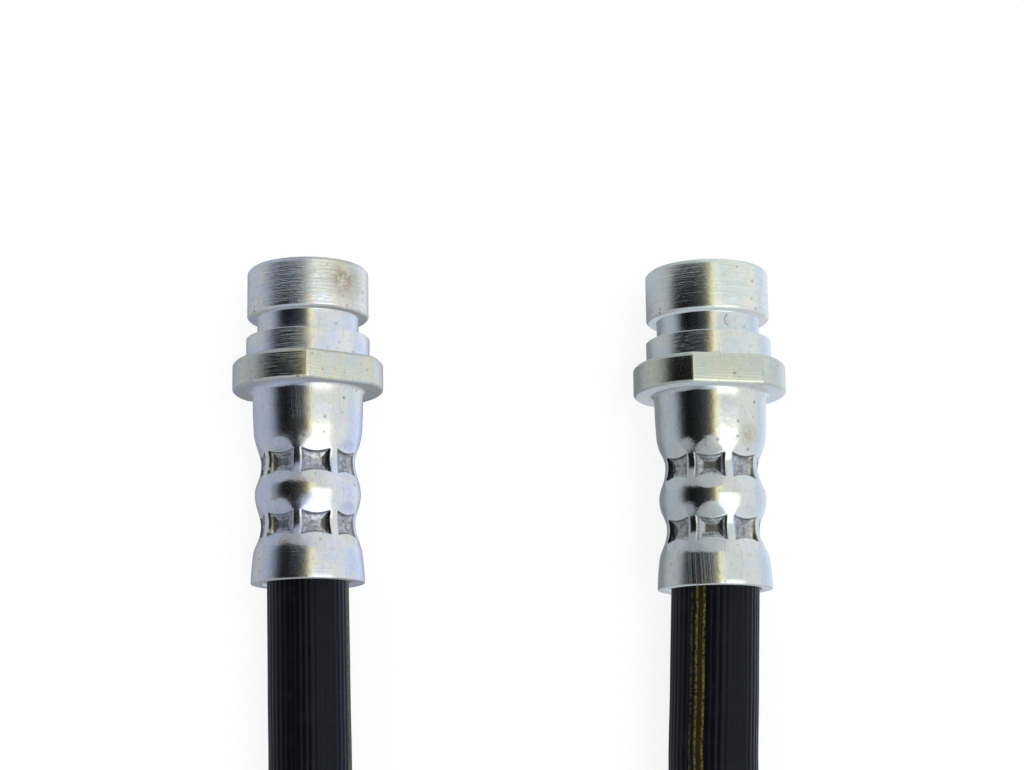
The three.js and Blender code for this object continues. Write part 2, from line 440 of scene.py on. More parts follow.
@dataclass(frozen=True)
class TurnedZone:
    """A stretch of a fitting with its own turning marks.

    Args:
        start: Where it starts, in millimetres from the free end.
        end: Where it ends.
        marks: How deep its turning marks are, from 0 to 1.
        tint: What its colour is multiplied by.
        soft: How far its ends are blurred, in millimetres.
    """

    start: float
    end: float
    marks: float
    tint: Colour = (1, 1, 1, 1)
    soft: float = 0.06

    def inside(self, board: NodeBoard, along: Socket) -> Socket:
        """Is 1 inside the zone, at a distance along the axis that falls towards the hose."""
        return board.between(along, -self.end * MM, -self.start * MM, self.soft * MM)


@dataclass(frozen=True)
class LineWork:
    """Fine lines around or along a fitting, broken here and there.

    Args:
        around: How fast they change around the axis, per radian.
        along: How fast they change along it, per metre.
        grain: Their noise.
        edge: The noise levels between which a line starts to show.
    """

    around: float
    along: float
    grain: Grain
    edge: Rise

    def build(self, board: NodeBoard, angle: Socket, along: Socket) -> Socket:
        """Draws the lines.

        Args:
            board: The material's node board.
            angle: The angle about the axis, in radians.
            along: The distance along the axis or along the cut.

        Returns:
            Where the lines are, from 0 to 1.
        """
        place = board.add("ShaderNodeCombineXYZ")
        board.feed(place.inputs[0], board.product(angle, self.around))
        board.feed(place.inputs[1], board.product(along, self.along))
        return self.edge.build(board, self.grain.build(board, place.outputs[0]))


@dataclass(frozen=True)
class HookScratch:
    """A small curved scratch, the left half of an oval.

    Args:
        angle: The oval's middle about the axis, in degrees from +Z towards +X.
        along: The oval's middle, in millimetres from the free end.
        half_width: The oval's half width, in degrees.
        half_length: Its half length, in millimetres.
        line: The scratch's width, as a share of the oval.
        core: The width where it is deepest, as the same share.
        open_side: Where it fades out across the oval, as shares of the half width.
    """

    angle: float
    along: float
    half_width: float = 6.5
    half_length: float = 0.75
    line: float = 0.16
    core: float = 0.16 / 3
    open_side: Rise = Rise(-0.2, -0.5)

    def build(self, board: NodeBoard, angle: Socket, along: Socket) -> Socket:
        """Draws the scratch.

        Args:
            board: The material's node board.
            angle: The angle about the axis, in radians.
            along: The distance along the axis, falling towards the hose.

        Returns:
            Where the scratch is, from 0 to 1.
        """
        across = board.maths("SUBTRACT", angle, math.radians(self.angle))
        across = board.maths("DIVIDE", across, math.radians(self.half_width))
        down = board.maths("DIVIDE", board.maths("ADD", along, self.along * MM), self.half_length * MM)
        off_oval = board.maths("ABSOLUTE", board.maths("SUBTRACT", board.hypotenuse(across, down), 1.0))
        on_line = board.ramp(off_oval, self.line, self.core)
        return board.product(on_line, self.open_side.build(board, across))


@dataclass(frozen=True)
class DragMarks:
    """Dark lengthwise drag marks on one stretch of a fitting.

    Args:
        angles: From and to which angle about the axis, in degrees.
        places: From and to which place, in millimetres from the free end.
        strength: How dark they are.
        slant: How far they turn about the axis, in radians per metre.
        fineness: How fast they change around the axis, per radian.
        detail: How many finer lines they have.
        edge: The noise levels between which a mark starts to show.
        soft_sides: How far the patch is blurred around the axis, in degrees.
        soft_ends: How far it is blurred along the axis, in millimetres.
    """

    angles: tuple[float, float]
    places: tuple[float, float]
    strength: float = 0.8
    slant: float = 9.0
    fineness: float = 62.0
    detail: float = 2.0
    edge: Rise = Rise(0.47, 0.60)
    soft_sides: float = 4.0
    soft_ends: float = 0.4

    def build(self, board: NodeBoard, angle: Socket, along: Socket) -> Socket:
        """Draws the marks.

        Args:
            board: The material's node board.
            angle: The angle about the axis, in radians.
            along: The distance along the axis, falling towards the hose.

        Returns:
            Where the marks are, from 0 to 1.
        """
        slanted = board.maths("MULTIPLY_ADD", along, self.slant, angle)
        lines = board.line_noise(board.product(slanted, self.fineness), self.detail)
        low, high = (math.radians(limit) for limit in self.angles)
        wide = board.between(angle, low, high, math.radians(self.soft_sides))
        start, end = self.places
        tall = board.between(along, -end * MM, -start * MM, self.soft_ends * MM)
        return board.product(self.edge.build(board, lines), board.product(wide, tall), self.strength)


@dataclass(frozen=True)
class Stain:
    """A yellowed patch of the plate with rusty spots in its middle.

    Args:
        angle: Its middle about the axis, in degrees from +Z towards +X.
        along: Its middle, in millimetres from the free end.
        radius: The radius of the fitting's surface there, in millimetres.
        reach: How far the yellowing goes, in millimetres.
        strength: How strong the yellowing is, from 0 to 1.
        yellowing: The yellowed plate's colour.
        rust: The rusty spots' colour.
        grain: The noise that makes its edge ragged.
        ragged: How ragged its edge is, as a share of the reach.
        yellow_edge: Where the yellowing fades in, in reaches from the middle.
        rust_edge: Where the rust fades in, in reaches from the middle.
        spots: The noise levels between which a rusty spot starts to show.
        rust_strength: How strong the rust is.
    """

    angle: float
    along: float
    radius: float
    reach: float
    strength: float
    yellowing: Colour = (0.58, 0.54, 0.36, 1)
    rust: Colour = (0.34, 0.21, 0.14, 1)
    grain: Grain = Grain(900.0, 5.0, 0.7)
    ragged: float = 0.9
    yellow_edge: tuple[float, float] = (1.85, 0.95)
    rust_edge: tuple[float, float] = (1.3, 0.65)
    spots: Rise = Rise(0.44, 0.60)
    rust_strength: float = 0.7

    @property
    def middle(self) -> tuple[float, float, float]:
        """The stain's middle in the fitting's own coordinates."""
        turn = math.radians(self.angle)
        return self.radius * MM * math.sin(turn), -self.along * MM, self.radius * MM * math.cos(turn)

    def build(self, board: NodeBoard, colour: Socket, place: Socket) -> Socket:
        """Lays the stain over a colour.

        Args:
            board: The material's node board.
            colour: The colour so far.
            place: The fitting's own coordinates.

        Returns:
            The colour's socket.
        """
        gap = board.add("ShaderNodeVectorMath", operation="DISTANCE")
        board.feed(gap.inputs[0], place)
        gap.inputs[1].default_value = self.middle
        noise = self.grain.build(board, place)
        reach = self.reach * MM
        far = board.maths("MULTIPLY_ADD", noise, self.ragged * reach, gap.outputs["Value"])
        yellowed, rusty = (
            board.ramp(far, start * reach, end * reach) for start, end in (self.yellow_edge, self.rust_edge)
        )
        colour = board.mix(board.product(yellowed, self.strength), colour, self.yellowing)
        spotted = board.product(rusty, self.spots.build(board, noise), self.rust_strength)
        return board.mix(spotted, colour, self.rust)


@dataclass(frozen=True)
class Specks:
    """Small dark specks, crowded in the cloudy places of the plate.

    Args:
        scale: How many there are; a higher number is more.
        size: The distances from a speck's middle between which it starts.
        crowding: The cloud levels between which specks start to show.
        strength: How dark they are.
    """

    scale: float = 700.0
    size: Rise = Rise(0.22, 0.06)
    crowding: Rise = Rise(0.50, 0.60)
    strength: float = 0.75

    def build(self, board: NodeBoard, place: Socket, cloud: Socket) -> Socket:
        """Scatters the specks.

        Args:
            board: The material's node board.
            place: The fitting's own coordinates.
            cloud: Broad noise.

        Returns:
            Where the specks are, from 0 to 1.
        """
        cells = board.add("ShaderNodeTexVoronoi", Vector=place, Scale=self.scale, Randomness=1.0)
        near = self.size.build(board, cells.outputs["Distance"])
        return board.product(near, self.crowding.build(board, cloud), self.strength)


@dataclass(frozen=True)
class CrimpLook:
    """The look of the crimping tool's marks: the pressed plate dull and mottled and darkened by painted
    shade, with a darker painted shade on their walls.

    Args:
        shade: The marks' colour, the pressed plate's own dull grey darkened further by painted shade in the
            recess.
        painted_edge_shade: The colour of their walls, a painted shade.
        start: Where the shade fades in, as shares of the way into a mark.
        mottling: How the shade comes and goes with fine noise.
        edge_start: Where the painted shade on the walls fades in.
        edge_end: Where it fades out again.
        edge_breaks: How the painted shade on the walls comes and goes with broad noise.
        dulling: How much duller a mark is, with fine noise.
    """

    # Partly the pressed plate's own dull grey, partly painted shade in the recess.
    shade: Colour = (0.22, 0.21, 0.23, 1)
    # Painted shade on the marks' walls.
    painted_edge_shade: Colour = (0.05, 0.05, 0.06, 1)
    start: Rise = Rise(0.0, 0.3)
    mottling: Rise = Rise(0.34, 0.66, 0.55, 0.38)
    edge_start: Rise = Rise(0.02, 0.18)
    edge_end: Rise = Rise(0.62, 0.22)
    edge_breaks: Rise = Rise(0.35, 0.65, 0.5, 0.35)
    dulling: Rise = Rise(0.36, 0.66, 0.26, 0.07)

    def build(self, board: NodeBoard, plate: Socket, cloud: Socket, fine: Socket, pressed: Socket) -> Socket:
        """Lays the marks over the plate's colour.

        Args:
            board: The material's node board.
            plate: The plate's colour.
            cloud: Broad noise.
            fine: Fine noise.
            pressed: How far a place lies in a mark.

        Returns:
            The colour's socket.
        """
        # The pressed plate's dull grey, darkened further by painted shade in the marks' recesses.
        rubbed = board.product(self.start.build(board, pressed), self.mottling.build(board, fine))
        colour = board.mix(rubbed, plate, self.shade)
        # Painted shade on the marks' walls, broken by broad noise.
        edge = board.product(self.edge_start.build(board, pressed), self.edge_end.build(board, pressed))
        return board.mix(board.product(edge, self.edge_breaks.build(board, cloud)), colour, self.painted_edge_shade)


@dataclass(frozen=True)
class ZincFinish:
    """Bright zinc plate over turned steel, with a faint tint, rubbed streaks, specks and stains.

    Its coordinates are the fitting's own: the free end's centre is the origin, -Y runs to the hose.
    The depths and the two ranges of painted shade, in the port and in the hose's socket, are in millimetres.
    """

    name: str
    first_tint: Colour
    second_tint: Colour
    stains: tuple[Stain, ...] = ()
    marks: tuple[HookScratch | DragMarks, ...] = ()
    blush: Colour = (0.90, 0.77, 0.84, 1)
    grime: Colour = (0.24, 0.23, 0.23, 1)
    # Painted shade: the colour that the plate turns to deep in the port and in the hose's socket.
    painted_bore_shade: Colour = (0.07, 0.07, 0.07, 1)
    clouds: Grain = Grain(170.0, 5.0, 0.6)
    fine_grain: Grain = Grain(1700.0, 5.0, 0.7)
    blotches: Grain = Grain(240.0, 4.0, distortion=1.5)
    tint_change: Rise = Rise(0.42, 0.62)
    blush_places: Rise = Rise(0.52, 0.68, 0.5)
    dull_places: Rise = Rise(0.50, 0.74, 0.26)
    specks: Specks = Specks()
    crimps: CrimpLook = CrimpLook()
    turning: LineWork = LineWork(1.4, 4600.0, Grain(1.0, 3.0, 0.6), Rise(0.3, 0.7))
    rubbing: LineWork = LineWork(30.0, 300.0, Grain(1.0, 3.0), Rise(0.56, 0.72))
    end_face: Rise = Rise(0.6, 0.8)
    turning_grime: float = 0.18
    rubbing_grime: float = 0.25
    mark_grime: float = 0.6
    roughness: float = 0.09
    fine_dulling: Rise = Rise(0.4, 0.75, 0.06)
    turning_dulling: float = 0.05
    mark_dulling: float = 0.55
    grime_dulling: float = 0.12
    cloud_depth: float = 0.07
    turning_depth: float = 0.010
    grain_depth: float = 0.005
    # Where the painted shade in the port and in the hose's socket starts and where it is full.
    port_painted_shade: tuple[float, float] = (0.3, 4.5)
    socket_painted_shade: tuple[float, float] = (0.05, 0.7)
    zones: tuple[TurnedZone, ...] = (
        TurnedZone(-0.5, 6.25, 1.0, (1.19, 1.19, 1.12, 1)),
        TurnedZone(6.25, 8.75, 0.1, (0.95, 1.00, 1.07, 1)),
        TurnedZone(8.75, 11.75, 0.3, (1.07, 1.07, 1.07, 1)),
        TurnedZone(11.75, 15.4, 0.6, (0.95, 0.94, 0.80, 1)),
        TurnedZone(35.5, 39.5, 0.25),
    )

    def material(self) -> bpy.types.Material:
        """Builds the finish.

        Returns:
            The material.
        """
        material, board, shader = new_material(self.name)
        coordinates = board.add("ShaderNodeTexCoord").outputs
        place = coordinates["Object"]
        x, along, z = board.add("ShaderNodeSeparateXYZ", Vector=place).outputs
        facing = board.add("ShaderNodeSeparateXYZ", Vector=coordinates["Normal"]).outputs[1]
        end_face = self.end_face.build(board, board.maths("ABSOLUTE", facing))
        outwards = board.maths("SUBTRACT", board.hypotenuse(x, z), along)
        cut = board.maths("MULTIPLY_ADD", outwards, end_face, along)
        angle = board.maths("ARCTAN2", x, z)
        cloud = self.clouds.build(board, place)
        fine = self.fine_grain.build(board, place)
        pressed = board.add("ShaderNodeAttribute", attribute_name="pressed").outputs["Fac"]
        turned = self.turned(board, along)
        lines = board.product(self.turning.build(board, angle, cut), turned)
        marked = self.marked(board, angle, along)
        rubbed = board.product(self.rubbing.build(board, angle, along), self.rubbing_grime)
        dark = board.maths("MAXIMUM", board.product(lines, self.turning_grime), rubbed)
        dark = board.maths("MAXIMUM", dark, board.product(marked, self.mark_grime))
        # The crimp marks carry painted shade over the pressed plate.
        colour = self.crimps.build(board, self.plate(board, place, cloud, fine), cloud, fine, pressed)
        for zone in self.zones:
            colour = board.mix(zone.inside(board, along), colour, zone.tint, "MULTIPLY")
        for stain in self.stains:
            colour = stain.build(board, colour, place)
        # Painted shade: the plate darkens deep in the port and in the hose's socket.
        colour = board.mix(self.painted_shade_share(board, along), colour, self.painted_bore_shade)
        board.feed(shader.inputs["Base Color"], board.mix(dark, colour, self.grime))
        shader.inputs["Metallic"].default_value = 1.0
        dulled = board.maths("ADD", self.fine_dulling.build(board, fine), self.roughness)
        dulled = board.maths("MULTIPLY_ADD", turned, self.turning_dulling, dulled)
        dulled = board.maths("MULTIPLY_ADD", pressed, self.crimps.dulling.build(board, fine), dulled)
        dulled = board.maths("MULTIPLY_ADD", marked, self.mark_dulling, dulled)
        dulled = board.maths("MULTIPLY_ADD", dark, self.grime_dulling, dulled)
        board.feed(shader.inputs["Roughness"], dulled)
        waves = board.bump(cloud, self.cloud_depth * MM)
        ridges = board.bump(lines, self.turning_depth * MM, under=waves)
        board.feed(shader.inputs["Normal"], board.bump(fine, self.grain_depth * MM, under=ridges))
        return material

    def turned(self, board: NodeBoard, along: Socket) -> Socket:
        """How deep the turning marks are at a place along the fitting.

        Args:
            board: The material's node board.
            along: The distance along the axis, falling towards the hose.

        Returns:
            The depth, from 0 to 1.
        """
        total = 0.0
        for zone in self.zones:
            share = board.product(zone.inside(board, along), zone.marks)
            total = board.maths("MAXIMUM", total, share)
        return total

    def marked(self, board: NodeBoard, angle: Socket, along: Socket) -> Socket | float:
        """Where the scratches and drag marks are.

        Args:
            board: The material's node board.
            angle: The angle about the axis, in radians.
            along: The distance along the axis, falling towards the hose.

        Returns:
            How marked a place is, from 0 to 1.
        """
        total = 0.0
        for mark in self.marks:
            total = board.maths("MAXIMUM", total, mark.build(board, angle, along))
        return total

    def painted_shade_share(self, board: NodeBoard, along: Socket) -> Socket:
        """How much painted shade darkens a place deep in the port and in the hose's socket.

        Args:
            board: The material's node board.
            along: The distance along the axis, falling towards the hose.

        Returns:
            The share of the painted shade, from 0 to 1.
        """
        inside = board.add("ShaderNodeAttribute", attribute_name="inside").outputs["Fac"]
        length = FittingSizes().length
        port_start, port_end = self.port_painted_shade
        socket_start, socket_end = self.socket_painted_shade
        in_port = board.ramp(along, -port_start * MM, -port_end * MM)
        in_socket = board.ramp(along, (socket_start - length) * MM, (socket_end - length) * MM)
        return board.product(inside, board.product(in_port, in_socket))

    def plate(self, board: NodeBoard, place: Socket, cloud: Socket, fine: Socket) -> Socket:
        """Mixes the plate's tints, its blush and its dark specks.

        Args:
            board: The material's node board.
            place: The fitting's own coordinates.
            cloud: Broad noise.
            fine: Fine noise.

        Returns:
            The colour's socket.
        """
        colour = board.mix(self.tint_change.build(board, cloud), self.first_tint, self.second_tint)
        blotched = self.blush_places.build(board, self.blotches.build(board, place))
        colour = board.mix(blotched, colour, self.blush)
        specks = self.specks.build(board, place, cloud)
        dirty = board.maths("MAXIMUM", specks, self.dull_places.build(board, fine))
        return board.mix(dirty, colour, self.grime)


@dataclass(frozen=True)
class InsertFinish:
    """Plain turned steel of the nipple insert, with both its colours darkened as painted shade for its place
    deep in its port.
    """

    name: str = "turned_steel_in_painted_shade"
    # Painted shade: both colours are the steel darkened for its place deep in the port.
    colour: Colour = (0.24, 0.24, 0.25, 1)
    dull: Colour = (0.12, 0.12, 0.12, 1)
    grain: Grain = Grain(900.0, 4.0)
    lines_per_metre: float = 6000.0
    line_detail: float = 2.0
    line_depth: float = 0.02 * MM
    line_strength: float = 0.4
    roughness: float = 0.25
    grain_dulling: float = 0.2

    def material(self) -> bpy.types.Material:
        """Builds the finish.

        Returns:
            The material.
        """
        material, board, shader = new_material(self.name)
        place = board.add("ShaderNodeTexCoord").outputs["Object"]
        along = board.add("ShaderNodeSeparateXYZ", Vector=place).outputs[1]
        grain = self.grain.build(board, place)
        # Painted shade: the darkened steel, mixed by grain with a darker painted shade.
        board.feed(shader.inputs["Base Color"], board.mix(grain, self.colour, self.dull))
        shader.inputs["Metallic"].default_value = 1.0
        dulled = board.maths("MULTIPLY_ADD", grain, self.grain_dulling, self.roughness)
        board.feed(shader.inputs["Roughness"], dulled)
        lines = board.line_noise(board.product(along, self.lines_per_metre), self.line_detail)
        board.feed(shader.inputs["Normal"], board.bump(lines, self.line_depth, self.line_strength))
        return material


@dataclass(frozen=True)
class CoverFinish:
    """Black ribbed rubber with a thin yellow identification stripe.

    Widths and places around the hose are in turns.
    """

    stripe_turn: float
    name: str = "ribbed_rubber"
    black: Colour = (0.0022, 0.0020, 0.0036, 1)
    worn: Colour = (0.0048, 0.0045, 0.0068, 1)
    sheen: Colour = (0.90, 0.88, 1.15, 1)
    yellow: Colour = (0.085, 0.086, 0.012, 1)
    brown: Colour = (0.016, 0.011, 0.003, 1)
    dust: Grain = Grain(420.0, 5.0, 0.7)
    grain: Grain = Grain(3200.0, 3.0)
    worn_places: Rise = Rise(0.45, 0.75)
    gloss: float = 0.5
    refraction: float = 1.25
    roughness: float = 0.25
    dust_dulling: float = 0.14
    grain_depth: float = 0.02 * MM
    grain_strength: float = 0.3
    line_width: float = 0.0085
    line_gap: float = 0.0275
    faint_line: float = 0.0210
    line_strength: float = 0.95
    faint_strength: float = 0.35
    line_blur: float = 0.0012
    line_wear: Rise = Rise(0.30, 0.65)
    wobble: float = 0.0048
    wobbles_per_metre: float = 240.0
    wobble_detail: float = 3.0

    def material(self) -> bpy.types.Material:
        """Builds the finish.

        Returns:
            The material.
        """
        material, board, shader = new_material(self.name)
        lay = board.add("ShaderNodeUVMap", uv_map="around_and_along").outputs[0]
        around, along, _ = board.add("ShaderNodeSeparateXYZ", Vector=lay).outputs
        place = board.add("ShaderNodeTexCoord").outputs["Object"]
        dust = self.dust.build(board, place)
        grain = self.grain.build(board, place)
        rubber = board.mix(self.worn_places.build(board, dust), self.black, self.worn)
        drift = board.line_noise(board.product(along, self.wobbles_per_metre), self.wobble_detail)
        shifted = board.maths("MULTIPLY_ADD", drift, self.wobble, around)
        board.feed(shader.inputs["Base Color"], self.striped(board, rubber, shifted, grain))
        dulled = board.maths("MULTIPLY_ADD", dust, self.dust_dulling, self.roughness)
        board.feed(shader.inputs["Roughness"], dulled)
        shader.inputs["Specular IOR Level"].default_value = self.gloss
        shader.inputs["IOR"].default_value = self.refraction
        shader.inputs["Specular Tint"].default_value = self.sheen
        board.feed(shader.inputs["Normal"], board.bump(grain, self.grain_depth, self.grain_strength))
        return material

    def striped(self, board: NodeBoard, rubber: Socket, around: Socket, grain: Socket) -> Socket:
        """Lays the two yellow lines, the brown band between them and the faint third line.

        Args:
            board: The material's node board.
            rubber: The rubber's colour.
            around: The place around the hose, in turns.
            grain: Noise that wears the lines.

        Returns:
            The colour's socket.
        """
        half = self.line_gap / 2
        band = board.between(around, self.stripe_turn - half, self.stripe_turn + half, self.line_blur)
        colour = board.mix(band, rubber, self.brown)
        kept = self.line_wear.build(board, grain)
        lines = {
            -half: self.line_strength,
            half: self.line_strength,
            half + self.faint_line: self.faint_strength,
        }
        for offset, strength in lines.items():
            low = self.stripe_turn + offset - self.line_width / 2
            line = board.between(around, low, low + self.line_width, self.line_blur)
            colour = board.mix(board.product(line, strength, kept), colour, self.yellow)
        return colour


@dataclass(frozen=True)
class InnerRubberFinish:
    """Smooth black rubber of the liner and the tie layer."""

    name: str
    shade: float
    pale_share: float = 2.0
    grain: Grain = Grain(1400.0, 4.0)
    roughness: float = 0.4
    grain_dulling: float = 0.3

    def material(self) -> bpy.types.Material:
        """Builds the finish.

        Returns:
            The material.
        """
        material, board, shader = new_material(self.name)
        grain = self.grain.build(board, board.add("ShaderNodeTexCoord").outputs["Object"])
        dark = (self.shade, self.shade, self.shade, 1)
        pale = (*(self.pale_share * share for share in dark[:3]), 1)
        board.feed(shader.inputs["Base Color"], board.mix(grain, dark, pale))
        dulled = board.maths("MULTIPLY_ADD", grain, self.grain_dulling, self.roughness)
        board.feed(shader.inputs["Roughness"], dulled)
        return material


@dataclass(frozen=True)
class BraidFinish:
    """Off-white braided yarn, in two sets of crossing strands, with painted shade where the strands dip."""

    name: str
    strands: float = 12.0
    lay_length: float = 14.0 * MM
    pale: Colour = (0.66, 0.62, 0.50, 1)
    # Painted shade: the yarn's colour darkened where the strands dip between each other.
    deep: Colour = (0.30, 0.27, 0.20, 1)
    strand_edge: Rise = Rise(0.2, 0.9)
    roughness: float = 0.85
    strand_depth: float = 0.1 * MM
    strand_strength: float = 0.6

    def material(self) -> bpy.types.Material:
        """Builds the finish.

        Returns:
            The material.
        """
        material, board, shader = new_material(self.name)
        lay = board.add("ShaderNodeUVMap", uv_map="around_and_along").outputs[0]
        around, along, _ = board.add("ShaderNodeSeparateXYZ", Vector=lay).outputs
        turns = board.product(around, self.strands)
        advance = board.product(along, self.strands / self.lay_length)
        waves = []
        for operation in ("ADD", "SUBTRACT"):
            phase = board.product(board.maths(operation, turns, advance), 2 * math.pi)
            waves.append(board.maths("SINE", phase))
        weave = board.maths("MAXIMUM", *waves)
        # Painted shade: darker where the weave dips, between the strands.
        colour = board.mix(self.strand_edge.build(board, weave), self.deep, self.pale)
        board.feed(shader.inputs["Base Color"], colour)
        shader.inputs["Roughness"].default_value = self.roughness
        board.feed(shader.inputs["Normal"], board.bump(weave, self.strand_depth, self.strand_strength))
        return material


@dataclass(frozen=True)
class FittingSizes:
    """Sizes of one end fitting, in millimetres, from its free end towards the hose."""

    collar_radius: float = 7.5
    collar_length: float = 6.2
    groove_radius: float = 6.25
    groove_width: float = 2.6
    shoulder_radius: float = 7.6
    shoulder_length: float = 2.95
    flange_radius: float = 9.25
    flange_thickness: float = 3.7
    half_across_flats: float = 8.15
    chamfer: float = 0.42
    lower_chamfer: float = 0.24
    sleeve_radius: float = 6.8
    sleeve_length: float = 5.1
    sleeve_end_radius: float = 6.6
    first_neck_drop: float = 3.9
    neck_pitch: float = 7.5
    neck_radius: float = 5.79
    bulge_radius: float = 6.43
    skirt_rise: float = 3.6
    skirt_length: float = 3.5
    skirt_radius: float = 6.88
    wall: float = 1.3
    port_radius: float = 4.45
    port_mouth_radius: float = 5.2
    port_depth: float = 12.6
    thread_pitch: float = 1.0
    thread_depth: float = 0.54
    thread_length: float = 8.6
    thread_flank: float = 0.4
    thread_runout: float = 1.5
    thread_relief: float = 0.5
    web_thickness: float = 3.6
    web_bore_radius: float = 3.0
    sharp_fillet: float = 0.10
    edge_fillet: float = 0.12
    chamfer_fillet: float = 0.15
    sleeve_fillet: float = 0.75
    sleeve_lead: float = 1.6
    sleeve_fall: float = 0.06
    socket_lead: float = 2.2
    rim_height: float = 0.3
    rim_fall: float = 0.02
    rim_lead: float = 0.35
    rim_fillet: float = 0.22
    inner_rim_fillet: float = 0.2
    skirt_fillet: float = 0.4
    cavity_fillet: float = 0.8
    web_fillet: float = 0.3

    @property
    def port_chamfer(self) -> float:
        """How deep the chamfer at the port's mouth is."""
        return self.port_mouth_radius - self.port_radius

    @property
    def thread_end(self) -> float:
        """Where the thread ends."""
        return self.port_chamfer + self.thread_length

    @property
    def web_end(self) -> float:
        """Where the web between the port and the hose's socket ends."""
        return self.port_depth + self.web_thickness

    @property
    def shoulder_start(self) -> float:
        """Where the shoulder starts."""
        return self.collar_length + self.groove_width

    @property
    def flange_start(self) -> float:
        """Where the flange starts."""
        return self.shoulder_start + self.shoulder_length

    @property
    def flange_end(self) -> float:
        """Where the flange ends."""
        return self.flange_start + self.flange_thickness

    @property
    def sleeve_end(self) -> float:
        """Where the sleeve starts to narrow."""
        return self.flange_end + self.sleeve_length

    @property
    def necks(self) -> tuple[float, float]:
        """Where the two crimped necks are."""
        first = self.sleeve_end + self.first_neck_drop
        return first, first + self.neck_pitch

    @property
    def skirt_start(self) -> float:
        """Where the flared skirt starts."""
        return self.necks[1] + self.skirt_rise

    @property
    def length(self) -> float:
        """The fitting's whole length."""
        return self.skirt_start + self.skirt_length

    def socket_radius(self, along: np.ndarray) -> np.ndarray:
        """The crimped socket's outer radius, as smooth waves between its widest and narrowest places.

        Each station is a place, the radius there and how fast the radius grows there.

        Args:
            along: Distances from the free end.

        Returns:
            The radius at each distance.
        """
        first, second = self.necks
        stations = [
            (self.flange_end, self.sleeve_radius, -0.02),
            (self.sleeve_end, self.sleeve_end_radius, -0.07),
            (first, self.neck_radius, 0.0),
            ((first + second) / 2, self.bulge_radius, 0.0),
            (second, self.neck_radius, 0.0),
            (self.skirt_start, self.sleeve_end_radius, 0.13),
            (self.length, self.skirt_radius, 0.04),
        ]
        radius = np.full_like(along, self.skirt_radius)
        for (start, r0, slope0), (end, r1, slope1) in zip(stations, stations[1:]):
            span = end - start
            t = (along - start) / span
            wave = (
                (2 * t**3 - 3 * t**2 + 1) * r0
                + (t**3 - 2 * t**2 + t) * span * slope0
                + (3 * t**2 - 2 * t**3) * r1
                + (t**3 - t**2) * span * slope1
            )
            radius = np.where((t >= 0) & (t <= 1), wave, radius)
        return radius


@dataclass(frozen=True)
class IndentSizes:
    """Sizes of the crimping tool's square indents and of the dips around them, in millimetres."""

    per_row: int = 8
    half_width: float = 1.83
    half_height: float = 1.58
    side_bow: float = 0.10
    lip_bow: float = 0.36
    wall_run: float = 0.40
    dish_run: float = 0.50
    dish_rise: float = 0.13
    floor_radius: float = 5.02
    row_offset: float = 0.35
    dip_depth: float = 0.26
    dip_half_width: float = 1.98
    dip_reach: float = 2.0
    dip_start: float = 0.8
    dip_power: float = 1.25
    edge_reach: float = 0.5
    fine_reach: float = 2.0

    def local(
        self,
        along: np.ndarray,
        angle: np.ndarray,
        neck: float,
        radius: float,
    ) -> tuple[np.ndarray, np.ndarray, np.ndarray]:
        """Places relative to the nearest indent's middle.

        Args:
            along: Distances from the free end.
            angle: Angles from the middle of one indent.
            neck: Where the row's neck is.
            radius: The neck's radius.

        Returns:
            The angle, the distance across and the distance down from the indent's middle.
        """
        pitch = 2 * np.pi / self.per_row
        turn = (angle + pitch / 2) % pitch - pitch / 2
        return turn, radius * np.sin(turn), along - neck - self.row_offset

    def dip(self, along: np.ndarray, angle: np.ndarray, neck: float, neck_radius: float) -> np.ndarray:
        """How far the surface is drawn in above and below each indent of a row.

        Args:
            along: Distances from the free end.
            angle: Angles from the middle of one indent.
            neck: Where the row's neck is.
            neck_radius: The neck's radius.

        Returns:
            The drop at each place.
        """
        _, across, down = self.local(along, angle, neck, neck_radius)
        beyond = np.maximum(np.abs(down) - self.dip_start, 0) / self.dip_reach
        share = np.clip(1 - (across / self.dip_half_width) ** 2 - beyond**2, 0, 1)
        return self.dip_depth * share**self.dip_power

    def cut(
        self,
        radius: np.ndarray,
        along: np.ndarray,
        angle: np.ndarray,
        neck: float,
        neck_radius: float,
    ) -> tuple[np.ndarray, np.ndarray]:
        """Presses one row of indents into a surface.

        Args:
            radius: The surface's radius before the crimp.
            along: Distances from the free end.
            angle: Angles from the middle of one indent.
            neck: Where the row's neck is.
            neck_radius: The neck's radius.

        Returns:
            The surface's radius after the crimp, and how far each place lies in an indent.
        """
        turn, across, down = self.local(along, angle, neck, neck_radius)
        width = self.half_width - self.side_bow * (1 - np.clip(down / self.half_height, -1, 1) ** 2)
        height = self.half_height - self.lip_bow * (1 - np.clip(across / self.half_width, -1, 1) ** 2)
        inside = np.minimum(width - np.abs(across), height - np.abs(down))
        ramp = np.clip(inside / self.wall_run, 0, 1)
        wall = (ramp + eased(ramp)) / 2
        dish = eased((inside - self.wall_run) / self.dish_run)
        floor = (self.floor_radius + self.dish_rise * (1 - dish)) / np.cos(turn)
        lowered = np.where(floor < radius, radius + (floor - radius) * wall, radius)
        return lowered, np.clip(inside / self.edge_reach, 0, 1)


@dataclass(frozen=True)
class InsertSizes:
    """Sizes of the barbed nipple insert, in millimetres."""

    bore_radius: float = 1.3
    tip_radius: float = 1.9
    tip_height: float = 3.1
    head_height: float = 1.2
    clearance: float = 0.3
    shank_radius: float = 2.7
    stem_radius: float = 2.0
    barb_radius: float = 2.2
    barb_count: int = 5
    barb_pitch: float = 3.2
    barb_shoulder: float = 0.2
    barb_slope: float = 1.0
    end_gap: float = 1.5
    head_fillet: float = 0.1
    seat_fillet: float = 0.05
    tip_fillet: float = 0.15
    barb_fillets: tuple[float, float, float] = (0.02, 0.03, 0.05)
    columns: int = 64


